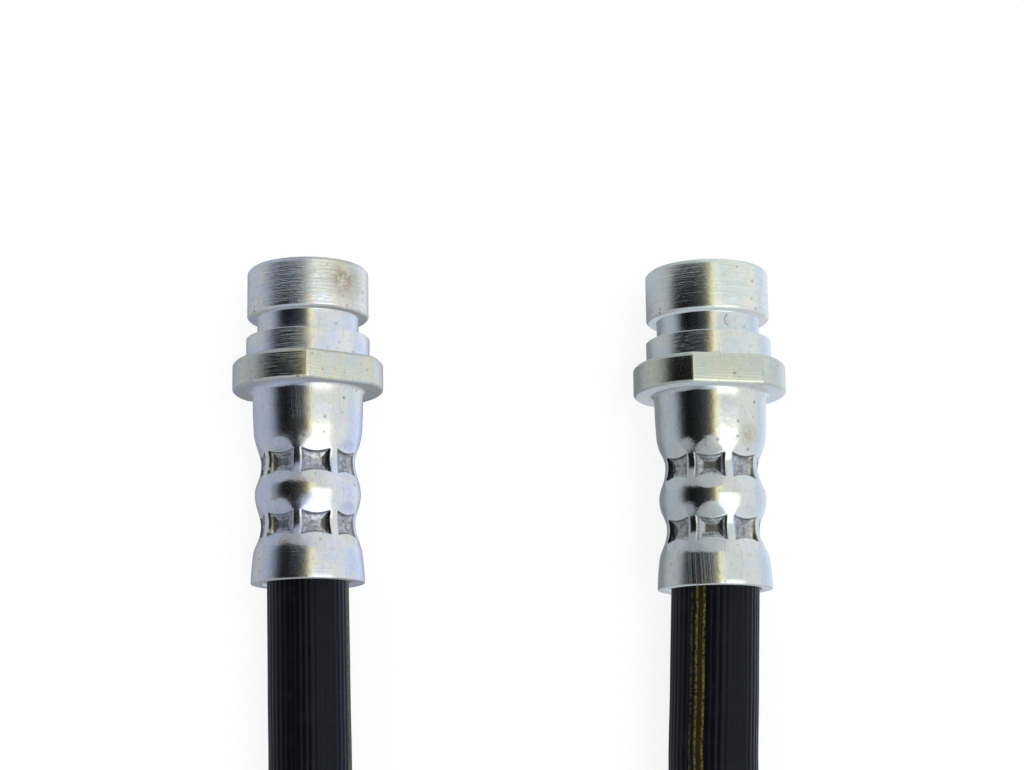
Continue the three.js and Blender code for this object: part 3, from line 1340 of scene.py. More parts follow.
@dataclass
class EndFitting:
    """One end of the hose: the fitting's one-piece body and the nipple insert in it."""

    side: Side
    tip: Vector
    lean: float
    flat_angle: float
    indent_angle: float
    finish: ZincFinish
    sizes: FittingSizes = field(default_factory=FittingSizes)
    indents: IndentSizes = field(default_factory=IndentSizes)
    insert: InsertSizes = field(default_factory=InsertSizes)
    columns: int = 296
    sleeve_rows: int = 6
    neck_rows: int = 12
    indent_rows: int = 64
    plain_rows: int = 16
    rim_points: int = 6
    rows_per_thread: int = 6

    def at(self, along: float) -> Vector:
        """The place on the fitting's axis at a distance in metres from its free end."""
        return self.tip + Matrix.Rotation(self.lean, 3, "Z") @ Vector((0, -along, 0))

    def settle(self, piece: bpy.types.Object) -> None:
        """Lays a piece that is built about the fitting's own axis down in the part's frame."""
        piece.location = self.tip
        piece.rotation_euler = (0, 0, self.lean)

    def head_outline(self) -> np.ndarray:
        """The body's outer outline from the free end to the sleeve.

        Returns:
            The outline's [radius, along] points.
        """
        s = self.sizes
        corners = [
            Corner(s.port_mouth_radius, 0.0),
            Corner(s.collar_radius - s.chamfer, 0.0, s.edge_fillet),
            Corner(s.collar_radius, s.chamfer, s.chamfer_fillet),
            Corner(s.collar_radius, s.collar_length - s.lower_chamfer, s.sharp_fillet),
            Corner(s.collar_radius - s.lower_chamfer, s.collar_length, s.sharp_fillet),
            Corner(s.groove_radius, s.collar_length, s.edge_fillet),
            Corner(s.groove_radius, s.shoulder_start, s.edge_fillet),
            Corner(s.shoulder_radius, s.shoulder_start, s.edge_fillet),
            Corner(s.shoulder_radius, s.flange_start, s.chamfer_fillet),
            Corner(s.flange_radius - s.chamfer, s.flange_start, s.edge_fillet),
            Corner(s.flange_radius, s.flange_start + s.chamfer, s.chamfer_fillet),
            Corner(s.flange_radius, s.flange_end - s.lower_chamfer, s.sharp_fillet),
            Corner(s.flange_radius - s.lower_chamfer, s.flange_end, s.sharp_fillet),
            Corner(s.sleeve_radius, s.flange_end, s.sleeve_fillet),
            Corner(s.sleeve_radius - s.sleeve_fall, s.flange_end + s.sleeve_lead),
        ]
        return rounded_outline(corners)

    def socket_outline(self) -> np.ndarray:
        """The body's outer outline from the sleeve to the skirt's rim, fine at the indents.

        Returns:
            The outline's [radius, along] points.
        """
        s = self.sizes
        reach = self.indents.fine_reach
        first, second = (neck + self.indents.row_offset for neck in s.necks)
        stretches = [
            (s.flange_end + s.socket_lead, s.sleeve_end, self.sleeve_rows),
            (s.sleeve_end, first - reach, self.neck_rows),
            (first - reach, first + reach, self.indent_rows),
            (first + reach, second - reach, self.plain_rows),
            (second - reach, second + reach, self.indent_rows),
        ]
        rows = [np.linspace(start, end, count, endpoint=False) for start, end, count in stretches]
        rows.append(np.linspace(second + reach, s.length - s.rim_lead, self.plain_rows))
        along = np.concatenate(rows)
        return np.column_stack([s.socket_radius(along), along])

    def rim_and_cavity_outline(self) -> np.ndarray:
        """The body's outline round the skirt's rim and up its inside to the web.

        Returns:
            The outline's [radius, along] points.
        """
        s = self.sizes
        first, second = s.necks
        corners = [
            Corner(s.skirt_radius - s.rim_fall, s.length - s.rim_height),
            Corner(s.skirt_radius, s.length, s.rim_fillet),
            Corner(s.skirt_radius - s.wall, s.length, s.inner_rim_fillet),
            Corner(s.sleeve_end_radius - s.wall, s.skirt_start, s.skirt_fillet),
            Corner(s.neck_radius - s.wall, second, s.cavity_fillet),
            Corner(s.bulge_radius - s.wall, (first + second) / 2, s.cavity_fillet),
            Corner(s.neck_radius - s.wall, first, s.cavity_fillet),
            Corner(s.sleeve_end_radius - s.wall, s.sleeve_end, s.cavity_fillet),
            Corner(s.sleeve_radius - s.wall, s.web_end, s.web_fillet),
            Corner(s.web_bore_radius, s.web_end),
        ]
        return rounded_outline(corners, steps=2)

    def port_outline(self) -> np.ndarray:
        """The body's outline from the web up the threaded port to the free end.

        Returns:
            The outline's [radius, along] points.
        """
        s = self.sizes
        rows = int(s.thread_length / s.thread_pitch * self.rows_per_thread)
        thread = np.linspace(s.thread_end, s.port_chamfer, rows)
        return np.array(
            [
                [s.web_bore_radius, s.port_depth],
                [s.port_radius, s.port_depth],
                [s.port_radius, s.thread_end + s.thread_relief],
                *[[s.port_radius, along] for along in thread],
                [s.port_mouth_radius, 2 * CLOSE],
            ]
        )

    def shaped(self, outline: np.ndarray, wall: Wall) -> tuple[np.ndarray, np.ndarray]:
        """Revolves an outline and works the flats, indents or thread into it.

        Args:
            outline: The outline's [radius, along] points, in millimetres.
            wall: Whether it is the outside or the inside.

        Returns:
            Rings of points in metres about the fitting's axis, and how far each lies in an indent.
        """
        s = self.sizes
        turn = 2 * np.pi * np.arange(self.columns) / self.columns
        angle = np.broadcast_to(turn[None, :], (len(outline), self.columns))
        radius = np.broadcast_to(outline[:, :1], angle.shape).copy()
        along = np.broadcast_to(outline[:, 1:], angle.shape)
        pressed = np.zeros_like(radius)
        if wall is Wall.OUTSIDE:
            radius = self.flatted(radius, along, angle)
            from_indent = angle - math.radians(self.indent_angle)
            for neck in s.necks:
                radius = radius - self.indents.dip(along, from_indent, neck, s.neck_radius)
            for neck in s.necks:
                radius, inside = self.indents.cut(radius, along, from_indent, neck, s.neck_radius)
                pressed = np.maximum(pressed, inside)
        else:
            radius = self.threaded(radius, along, angle)
        points = np.stack([radius * np.sin(angle), -along, radius * np.cos(angle)], axis=-1)
        return points * MM, pressed

    def flatted(self, radius: np.ndarray, along: np.ndarray, angle: np.ndarray) -> np.ndarray:
        """Cuts the flange's two wrench flats, with its chamfers carried round them.

        Args:
            radius: The surface's radius.
            along: Distances from the free end.
            angle: Angles about the axis.

        Returns:
            The radius with the flats cut.
        """
        s = self.sizes
        inset = np.clip(s.flange_radius - radius, 0, s.chamfer)
        facing = np.abs(np.cos(angle - math.radians(self.flat_angle)))
        limit = (s.half_across_flats - inset) / np.maximum(facing, TINY)
        on_flange = (along > s.flange_start - CLOSE) & (along < s.flange_end + CLOSE)
        return np.where(on_flange & (limit < radius), limit, radius)

    def threaded(self, radius: np.ndarray, along: np.ndarray, angle: np.ndarray) -> np.ndarray:
        """Cuts the port's thread.

        Args:
            radius: The surface's radius.
            along: Distances from the free end.
            angle: Angles about the axis.

        Returns:
            The radius with the thread cut.
        """
        s = self.sizes
        beside = (along > s.port_chamfer - CLOSE) & (along < s.thread_end)
        on_thread = beside & (radius < s.port_radius + CLOSE)
        phase = (along / s.thread_pitch + angle / (2 * np.pi)) % 1.0
        profile = np.clip((0.5 - np.abs(phase - 0.5)) / s.thread_flank, 0, 1)
        fade = np.clip((s.thread_end - along) / s.thread_runout, 0, 1)
        return np.where(on_thread, radius + profile * s.thread_depth * fade, radius)

    def build_body(self) -> bpy.types.Object:
        """Builds the one-piece body and dresses it.

        Returns:
            The body's object.
        """
        rim_and_cavity = self.rim_and_cavity_outline()
        rim, cavity = rim_and_cavity[: self.rim_points], rim_and_cavity[self.rim_points :]
        outside = np.concatenate([self.head_outline(), self.socket_outline(), rim])
        inside = np.concatenate([cavity, self.port_outline()])
        outer_rings, pressed = self.shaped(outside, Wall.OUTSIDE)
        inner_rings, clear = self.shaped(inside, Wall.INSIDE)
        body = loop_mesh(f"{self.side.value}_body", np.concatenate([outer_rings, inner_rings]))
        shares = {
            "pressed": np.concatenate([pressed, clear]),
            "inside": np.concatenate([np.zeros_like(pressed), np.ones_like(clear)]),
        }
        for name, share in shares.items():
            marks = body.data.attributes.new(name, "FLOAT", "POINT")
            marks.data.foreach_set("value", share.ravel().astype(np.float32))
        face_outwards(body)
        self.settle(body)
        body.data.materials.append(self.finish.material())
        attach(body, "root")
        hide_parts(f"{self.side.value}_fitting_body")
        return body

    def insert_outline(self) -> np.ndarray:
        """The insert's outline from its bore over the seat and the barbs to its end.

        Returns:
            The outline's [radius, along] points.
        """
        s = self.sizes
        i = self.insert
        seat = s.port_depth - i.clearance
        end = s.length - i.end_gap
        head_radius = s.port_radius - i.clearance
        corners = [
            Corner(i.bore_radius, seat - i.tip_height),
            Corner(i.tip_radius, seat - i.tip_height, i.tip_fillet),
            Corner(head_radius, seat - i.head_height, i.head_fillet),
            Corner(head_radius, seat, i.seat_fillet),
            Corner(i.shank_radius, seat, i.seat_fillet),
            Corner(i.shank_radius, s.web_end, i.head_fillet),
            Corner(i.stem_radius, s.web_end, i.head_fillet),
        ]
        foot, crest, slope = i.barb_fillets
        for index in reversed(range(i.barb_count)):
            barb = end - i.barb_slope - index * i.barb_pitch
            corners.append(Corner(i.stem_radius, barb - i.barb_shoulder, foot))
            corners.append(Corner(i.barb_radius, barb - i.barb_shoulder, crest))
            corners.append(Corner(i.stem_radius, barb + i.barb_slope, slope))
        corners.append(Corner(i.bore_radius, end))
        return rounded_outline(corners, steps=2)

    def build_insert(self, steel: bpy.types.Material) -> bpy.types.Object:
        """Builds the barbed insert with the seat for the pipe's flare.

        Args:
            steel: The insert's material.

        Returns:
            The insert's object.
        """
        outline = self.insert_outline()
        turn = 2 * np.pi * np.arange(self.insert.columns) / self.insert.columns
        radius, along = outline[:, :1], outline[:, 1:]
        points = np.stack([radius * np.sin(turn), -along + 0 * turn, radius * np.cos(turn)], axis=-1)
        insert = loop_mesh(f"{self.side.value}_insert", points * MM)
        face_outwards(insert)
        self.settle(insert)
        insert.data.materials.append(steel)
        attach(insert, "root")
        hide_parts(f"{self.side.value}_nipple_insert")
        return insert


def smooth_route(points: np.ndarray, spacing: float, steps: int = 32) -> np.ndarray:
    """Draws a centripetal curve through points and spaces it evenly.

    Args:
        points: The points to pass through, in metres.
        spacing: The distance between the curve's samples, in metres.
        steps: How many steps the curve is worked out in between two points.

    Returns:
        The curve's samples.
    """
    first = 2 * points[0] - points[1]
    last = 2 * points[-1] - points[-2]
    padded = np.vstack([first, points, last])
    samples = [points[0]]
    for index in range(1, len(padded) - 2):
        p0, p1, p2, p3 = padded[index - 1 : index + 3]
        t1 = np.linalg.norm(p1 - p0) ** 0.5
        t2 = t1 + np.linalg.norm(p2 - p1) ** 0.5
        t3 = t2 + np.linalg.norm(p3 - p2) ** 0.5
        for t in np.linspace(t1, t2, steps + 1)[1:]:
            a1 = (t1 - t) / t1 * p0 + t / t1 * p1
            a2 = (t2 - t) / (t2 - t1) * p1 + (t - t1) / (t2 - t1) * p2
            a3 = (t3 - t) / (t3 - t2) * p2 + (t - t2) / (t3 - t2) * p3
            b1 = (t2 - t) / t2 * a1 + t / t2 * a2
            b2 = (t3 - t) / (t3 - t1) * a2 + (t - t1) / (t3 - t1) * a3
            samples.append((t2 - t) / (t2 - t1) * b1 + (t - t1) / (t2 - t1) * b2)
    line = np.array(samples)
    reached = np.concatenate([[0], np.cumsum(np.linalg.norm(np.diff(line, axis=0), axis=1))])
    stops = np.linspace(0, reached[-1], max(2, round(reached[-1] / spacing) + 1))
    return np.column_stack([np.interp(stops, reached, line[:, axis]) for axis in range(3)])


@dataclass(frozen=True)
class HoseLayer:
    """One layer of the hose.

    Args:
        name: The piece's name.
        node: The CAD node that it stands for.
        slot: The record's material slot; not used.
        free: Inner and outer radius of the free hose, in millimetres.
        squeezed: Inner and outer radius in the socket, in millimetres.
    """

    name: str
    node: str
    slot: str
    free: tuple[float, float]
    squeezed: tuple[float, float]


@dataclass
class Hose:
    """The rubber hose between the fittings, with its ribbed cover and its inner layers.

    Args:
        left: The left fitting.
        right: The right fitting.
        diameter: The hose's outer diameter; not used.
        long_radius: The long half axis of the cover's slightly oval section.
        short_radius: The short half axis of that section.
        rib_count: How many ribs run along the cover.
        rib_height: How high the ribs are.
        rib_power: How full the ribs are; a lower number is fuller.
        rib_middle: The level of a rib that lies on the section, as a share of its height.
        cover_bore: The cover's inner radius.
        cover_squeeze: How much the cover narrows in the sockets, as a share.
        layer_gap: The space between an inner layer's end and the fitting's web.
        layer_flare: The length over which an inner layer opens from squeezed to free.
        columns: Points around the cover.
        layer_columns: Points around an inner layer.
        left_twist: The section's turn at the left fitting, in radians.
        right_twist: The section's turn at the right fitting, in radians.
        stripe_angle: Where the stripe is on the section, in radians.
        floor_height: The height of the hose's middle where it lies on the floor.
        spacing: The distance between two stations along the hose.
        in_socket: How far the cover goes into the sockets.
        layers: The inner layers, from the inside out.
    """

    left: EndFitting
    right: EndFitting
    diameter: float = 10.5 * MM
    long_radius: float = 5.29 * MM
    short_radius: float = 4.89 * MM
    rib_count: int = 41
    rib_height: float = 0.078 * MM
    rib_power: float = 0.8
    rib_middle: float = 0.6
    cover_bore: float = 3.75 * MM
    cover_squeeze: float = 0.07
    layer_gap: float = 0.8 * MM
    layer_flare: float = 1.5 * MM
    columns: int = 246
    layer_columns: int = 36
    left_twist: float = 0.0
    right_twist: float = math.radians(-63)
    stripe_angle: float = math.radians(87)
    floor_height: float = 5.30 * MM
    spacing: float = 2.4 * MM
    in_socket: float = 2.4 * MM
    layers: tuple[HoseLayer, ...] = (
        HoseLayer("liner", "hose_liner", "liner_rubber", (1.6, 2.3), (2.35, 2.7)),
        HoseLayer("inner_braid", "hose_inner_braid", "braid_fibre", (2.45, 2.75), (2.85, 3.0)),
        HoseLayer("tie_layer", "hose_tie_layer", "tie_rubber", (2.9, 3.15), (3.15, 3.3)),
        HoseLayer("outer_braid", "hose_outer_braid", "braid_fibre", (3.3, 3.6), (3.45, 3.6)),
    )

    def route_points(self) -> np.ndarray:
        """The hose's route from the left socket's mouth to the right one's.

        Returns:
            The route's points, in metres.
        """
        low = self.floor_height
        left_mouth = self.left.at(self.left.sizes.length * MM)
        right_mouth = self.right.at(self.right.sizes.length * MM)
        left_leg = [(-0.02422, -0.032, left_mouth.z), (-0.02406, -0.045, left_mouth.z)]
        right_leg = [(0.02347, -0.045, right_mouth.z), (0.02393, -0.032, right_mouth.z)]
        on_floor = [
            (-0.0253, -0.0580, 0.0080),
            (-0.0289, -0.0677, 0.0069),
            (-0.0348, -0.0766, 0.0060),
            (-0.0415, -0.0885, low),
            (-0.0450, -0.1052, low),
            (-0.0390, -0.1277, low),
            (-0.0225, -0.1442, low),
            (0.0000, -0.1502, low),
            (0.0225, -0.1442, low),
            (0.0390, -0.1277, low),
            (0.0450, -0.1052, low),
            (0.0415, -0.0885, low),
            (0.0348, -0.0766, 0.0060),
            (0.0288, -0.0677, 0.0069),
            (0.0250, -0.0580, 0.0080),
        ]
        return np.array([tuple(left_mouth), *left_leg, *on_floor, *right_leg, tuple(right_mouth)])

    def centreline(self, in_socket: float) -> np.ndarray:
        """The hose's centreline, led straight into both sockets.

        Args:
            in_socket: How far it goes into each socket, in metres.

        Returns:
            The centreline's evenly spaced points.
        """
        route = smooth_route(self.route_points(), self.spacing)
        steps = round(in_socket / self.spacing)
        depths = np.linspace(in_socket, 0, steps, endpoint=False)
        length = self.left.sizes.length * MM
        left_lead = [tuple(self.left.at(length - depth)) for depth in depths]
        right_lead = [tuple(self.right.at(length - depth)) for depth in depths[::-1]]
        return np.array([*left_lead, *route, *right_lead])

    def directions(self, line: np.ndarray) -> tuple[np.ndarray, np.ndarray]:
        """The upward and sideways directions square to a line.

        Args:
            line: The centreline's points.

        Returns:
            The upward and the leftward direction at each point.
        """
        travel = np.gradient(line, axis=0)
        travel /= np.linalg.norm(travel, axis=1)[:, None]
        sideways = np.cross(Z_UP, travel)
        sideways /= np.linalg.norm(sideways, axis=1)[:, None]
        return np.cross(travel, sideways), sideways

    def tube_rings(
        self,
        line: np.ndarray,
        outer: np.ndarray,
        inner: np.ndarray,
        twist: np.ndarray,
    ) -> np.ndarray:
        """Sweeps a ring of outer and of inner radii along a line.

        Args:
            line: The centreline's points.
            outer: Outer section points at each station, as upward and sideways distances.
            inner: The same for the inside.
            twist: The section's turn at each station, in radians.

        Returns:
            The rings of a closed tube: the outside, then the inside back.
        """
        upward, sideways = self.directions(line)
        cos, sin = np.cos(twist)[:, None], np.sin(twist)[:, None]
        first = upward * cos + sideways * sin
        second = sideways * cos - upward * sin

        def swept(section: np.ndarray) -> np.ndarray:
            """Places one wall's section points along the line."""
            return line[:, None] + section[..., :1] * first[:, None] + section[..., 1:] * second[:, None]

        return np.concatenate([swept(outer), swept(inner)[::-1]])

    def build_cover(self) -> bpy.types.Object:
        """Builds the ribbed cover, a little narrower where it goes into the sockets.

        Returns:
            The cover's object.
        """
        line = self.centreline(self.in_socket)
        stations = len(line)
        turn = 2 * np.pi * np.arange(self.columns) / self.columns
        ridge = np.abs(np.sin(self.rib_count * turn / 2)) ** self.rib_power
        section = np.column_stack([self.long_radius * np.cos(turn), self.short_radius * np.sin(turn)])
        radial = np.column_stack([np.cos(turn), np.sin(turn)])
        ribbed = section + radial * ((ridge - self.rib_middle) * self.rib_height)[:, None]
        reached = np.arange(stations) * self.spacing
        from_end = np.minimum(reached, reached[-1] - reached)
        squeeze = 1 - self.cover_squeeze * (1 - np.clip(from_end / self.in_socket, 0, 1))
        outer = squeeze[:, None, None] * ribbed[None]
        inner = np.broadcast_to(self.cover_bore * radial[None], outer.shape)
        twist = self.left_twist + (self.right_twist - self.left_twist) * eased(reached / reached[-1])
        rings = self.tube_rings(line, outer, inner, twist)
        cover = loop_mesh("cover", rings, uv=self.lay_out(stations, self.columns))
        face_outwards(cover)
        cover.data.materials.append(CoverFinish(self.stripe_angle / (2 * math.pi)).material())
        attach(cover, "root")
        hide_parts("hose_cover")
        return cover

    def lay_out(self, stations: int, columns: int) -> np.ndarray:
        """Texture coordinates: turns around the hose, and metres along it.

        Args:
            stations: Rings in one wall.
            columns: Points in a ring.

        Returns:
            Coordinates for each ring and one closing row and column.
        """
        along = np.arange(stations) * self.spacing
        both = np.concatenate([along, along[::-1], along[:1]])
        around = np.arange(columns + 1) / columns
        return np.stack(np.broadcast_arrays(around[None, :], both[:, None]), axis=-1)

    def build_layer(self, layer: HoseLayer, look: bpy.types.Material) -> bpy.types.Object:
        """Builds one inner layer, squeezed where it lies in the sockets.

        Args:
            layer: The layer's sizes and names.
            look: Its material.

        Returns:
            The layer's object.
        """
        sizes = self.left.sizes
        depth = (sizes.length - sizes.web_end) * MM - self.layer_gap
        line = self.centreline(depth)
        turn = 2 * np.pi * np.arange(self.layer_columns) / self.layer_columns
        radial = np.column_stack([np.cos(turn), np.sin(turn)])
        reached = np.concatenate([[0], np.cumsum(np.linalg.norm(np.diff(line, axis=0), axis=1))])
        from_end = np.minimum(reached, reached[-1] - reached)
        opened = eased((from_end - depth) / self.layer_flare + 1)
        walls = []
        for squeezed, free in zip(layer.squeezed, layer.free):
            radius = (squeezed + (free - squeezed) * opened) * MM
            walls.append(radius[:, None, None] * radial[None])
        rings = self.tube_rings(line, walls[1], walls[0], np.zeros(len(line)))
        piece = loop_mesh(layer.name, rings, uv=self.lay_out(len(line), self.layer_columns))
        face_outwards(piece)
        piece.data.materials.append(look)
        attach(piece, "root")
        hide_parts(layer.node)
        return piece

    def build(self) -> list[bpy.types.Object]:
        """Builds the cover and the inner layers.

        Returns:
            The hose's pieces.
        """
        looks = {
            "liner": InnerRubberFinish("liner_rubber", 0.012).material(),
            "inner_braid": BraidFinish("inner_yarn").material(),
            "tie_layer": InnerRubberFinish("tie_rubber", 0.02).material(),
            "outer_braid": BraidFinish("outer_yarn", strands=16.0).material(),
        }
        inner = [self.build_layer(layer, looks[layer.name]) for layer in self.layers]
        cover = self.build_cover()
        line = self.centreline(0.0)
        return [cover, *inner]


@dataclass(frozen=True)
class LightStop:
    """The light from one direction around the object.

    Args:
        lean: The direction's lean from straight up towards +X, in degrees.
        level: The light's level.
        tint: Its tint.
    """

    lean: float
    level: float
    tint: tuple[float, float, float] = (0.96, 1.0, 1.03)

    @property
    def colour(self) -> Colour:
        """The light's colour."""
        return *(self.level * share for share in self.tint), 1.0


@dataclass(frozen=True)
class LightBand:
    """A band of the light tent: the light around the object at one range of heights along +Y."""

    stops: tuple[LightStop, ...]

    def build(self, board: NodeBoard, lean: Socket) -> Socket:
        """Lays the band out as a colour ramp.

        Args:
            board: The tent's node board.
            lean: The direction's lean, in degrees.

        Returns:
            The colour's socket.
        """
        ramp = board.add("ShaderNodeValToRGB")
        board.feed(ramp.inputs[0], board.maths("MULTIPLY_ADD", lean, 1 / 360, 0.5))
        elements = ramp.color_ramp.elements
        while len(elements) < len(self.stops):
            elements.new(0.5)
        for element, stop in zip(elements, self.stops):
            element.position = stop.lean / 360 + 0.5
            element.color = stop.colour
        return ramp.outputs[0]


COOL = (0.92, 0.98, 1.08)
BLUE = (0.88, 0.98, 1.15)
WARM = (1.10, 1.02, 0.62)

UPPER_BAND = LightBand(
    (
        LightStop(-180, 0.50, COOL),
        LightStop(-100, 0.50, COOL),
        LightStop(-55, 0.40, COOL),
        LightStop(-20, 0.42),
        LightStop(5, 0.60),
        LightStop(40, 0.78),
        LightStop(90, 0.85),
        LightStop(180, 0.70),
    )
)
MIDDLE_BAND = LightBand(
    (
        LightStop(-180, 0.30, COOL),
        LightStop(-142, 0.28, COOL),
        LightStop(-115, 0.46, COOL),
        LightStop(-98, 0.50, COOL),
        LightStop(-79, 0.46, COOL),
        LightStop(-70, 0.34, COOL),
        LightStop(-63, 0.19, COOL),
        LightStop(-56, 0.050, COOL),
        LightStop(-49, 0.014, COOL),
        LightStop(-40, 0.008),
        LightStop(-21, 0.024),
        LightStop(-6, 0.070),
        LightStop(1, 0.18, WARM),
        LightStop(6, 0.44, WARM),
        LightStop(11, 0.92, WARM),
        LightStop(17, 0.90, (1.04, 1.02, 0.88)),
        LightStop(28, 0.76),
        LightStop(47, 0.78),
        LightStop(67, 0.82),
        LightStop(90, 0.84),
        LightStop(112, 0.76, BLUE),
        LightStop(140, 0.90, BLUE),
        LightStop(180, 0.50, COOL),
    )
)
LOWER_BAND = LightBand(
    (
        LightStop(-180, 0.30, COOL),
        LightStop(-115, 0.45, COOL),
        LightStop(-75, 0.48, COOL),
        LightStop(-50, 0.36, COOL),
        LightStop(-25, 0.30, COOL),
        LightStop(-8, 0.42),
        LightStop(5, 0.70),
        LightStop(60, 0.88),
        LightStop(112, 0.70, COOL),
        LightStop(180, 0.50, COOL),
    )
)


@dataclass
class LightTent:
    """A tent around the object that only its reflections show, with a dark middle and a soft box.

    A place on the tent has a lean, in degrees from straight up towards +X, and a reach along +Y,
    from -1 to 1.

    Args:
        radius: The tent's radius.
        centre: The tent's middle.
        segments: The tent's faces around.
        rings: The tent's faces from pole to pole.
        top: The reach where the upper band starts.
        bottom: The reach where the lower band ends.
        point: The lean where the middle band comes down in a point.
        point_drop: How much further it comes down there.
        point_half_width: Half the point's width, in degrees.
        edge: How far the borders between the bands are blurred.
        soft_box_lean: From and to which lean the soft box goes.
        soft_box_reach: From and to which reach it goes.
        soft_box_colour: Its colour and level.
        soft_box_fade: How far its sides and its ends are blurred.
    """

    radius: float = 0.35
    centre: tuple[float, float, float] = (0.17, 0.0, 0.20)
    segments: int = 64
    rings: int = 32
    top: float = 0.44
    bottom: float = -0.27
    point: float = -26.0
    point_drop: float = 0.19
    point_half_width: float = 22.0
    edge: float = 0.04
    soft_box_lean: tuple[float, float] = (15.0, 57.0)
    soft_box_reach: tuple[float, float] = (-0.92, 0.06)
    soft_box_colour: Colour = (1.5, 1.52, 1.5, 1)
    soft_box_fade: tuple[float, float] = (8.0, 0.09)

    def build(self) -> None:
        """Builds the tent and dresses its inside."""
        bpy.ops.mesh.primitive_uv_sphere_add(
            segments=self.segments,
            ring_count=self.rings,
            radius=self.radius,
            location=self.centre,
        )
        tent = bpy.context.object
        tent.name = "light_tent"
        tent.visible_camera = False
        tent.visible_diffuse = False
        tent.visible_transmission = False
        tent.visible_volume_scatter = False
        tent.visible_shadow = False
        tent.data.materials.append(self.material())

    def material(self) -> bpy.types.Material:
        """Makes the tent's light, laid out by place on the tent.

        Returns:
            The material.
        """
        material = bpy.data.materials.new("light_tent")
        material.use_nodes = True
        material.cycles.emission_sampling = "NONE"
        board = NodeBoard(material.node_tree)
        local = board.add("ShaderNodeTexCoord").outputs["Object"]
        place = board.add("ShaderNodeVectorMath", operation="ADD")
        board.feed(place.inputs[0], local)
        place.inputs[1].default_value = self.centre
        distance = board.add("ShaderNodeVectorMath", operation="LENGTH")
        board.feed(distance.inputs[0], place.outputs[0])
        x, y, z = board.add("ShaderNodeSeparateXYZ", Vector=place.outputs[0]).outputs
        lean = board.maths("DEGREES", board.maths("ARCTAN2", x, z))
        reach = board.maths("DIVIDE", y, distance.outputs["Value"])
        above = board.ramp(board.maths("SUBTRACT", reach, self.top), -self.edge, self.edge)
        from_point = board.maths("ABSOLUTE", board.maths("SUBTRACT", lean, self.point))
        share = board.maths("DIVIDE", from_point, self.point_half_width)
        point = board.maths("SUBTRACT", 1.0, share, clamp=True)
        bottom = board.maths("MULTIPLY_ADD", point, -self.point_drop, self.bottom)
        below = board.ramp(board.maths("SUBTRACT", bottom, reach), -self.edge, self.edge)
        colour = board.mix(above, MIDDLE_BAND.build(board, lean), UPPER_BAND.build(board, lean))
        colour = board.mix(below, colour, LOWER_BAND.build(board, lean))
        wide = board.between(lean, *self.soft_box_lean, self.soft_box_fade[0])
        tall = board.between(reach, *self.soft_box_reach, self.soft_box_fade[1])
        colour = board.mix(board.product(wide, tall), colour, self.soft_box_colour)
        glow = board.add("ShaderNodeEmission", Strength=1.0)
        board.feed(glow.inputs["Color"], colour)
        output = board.add("ShaderNodeOutputMaterial")
        board.feed(output.inputs["Surface"], glow.outputs[0])
        return material


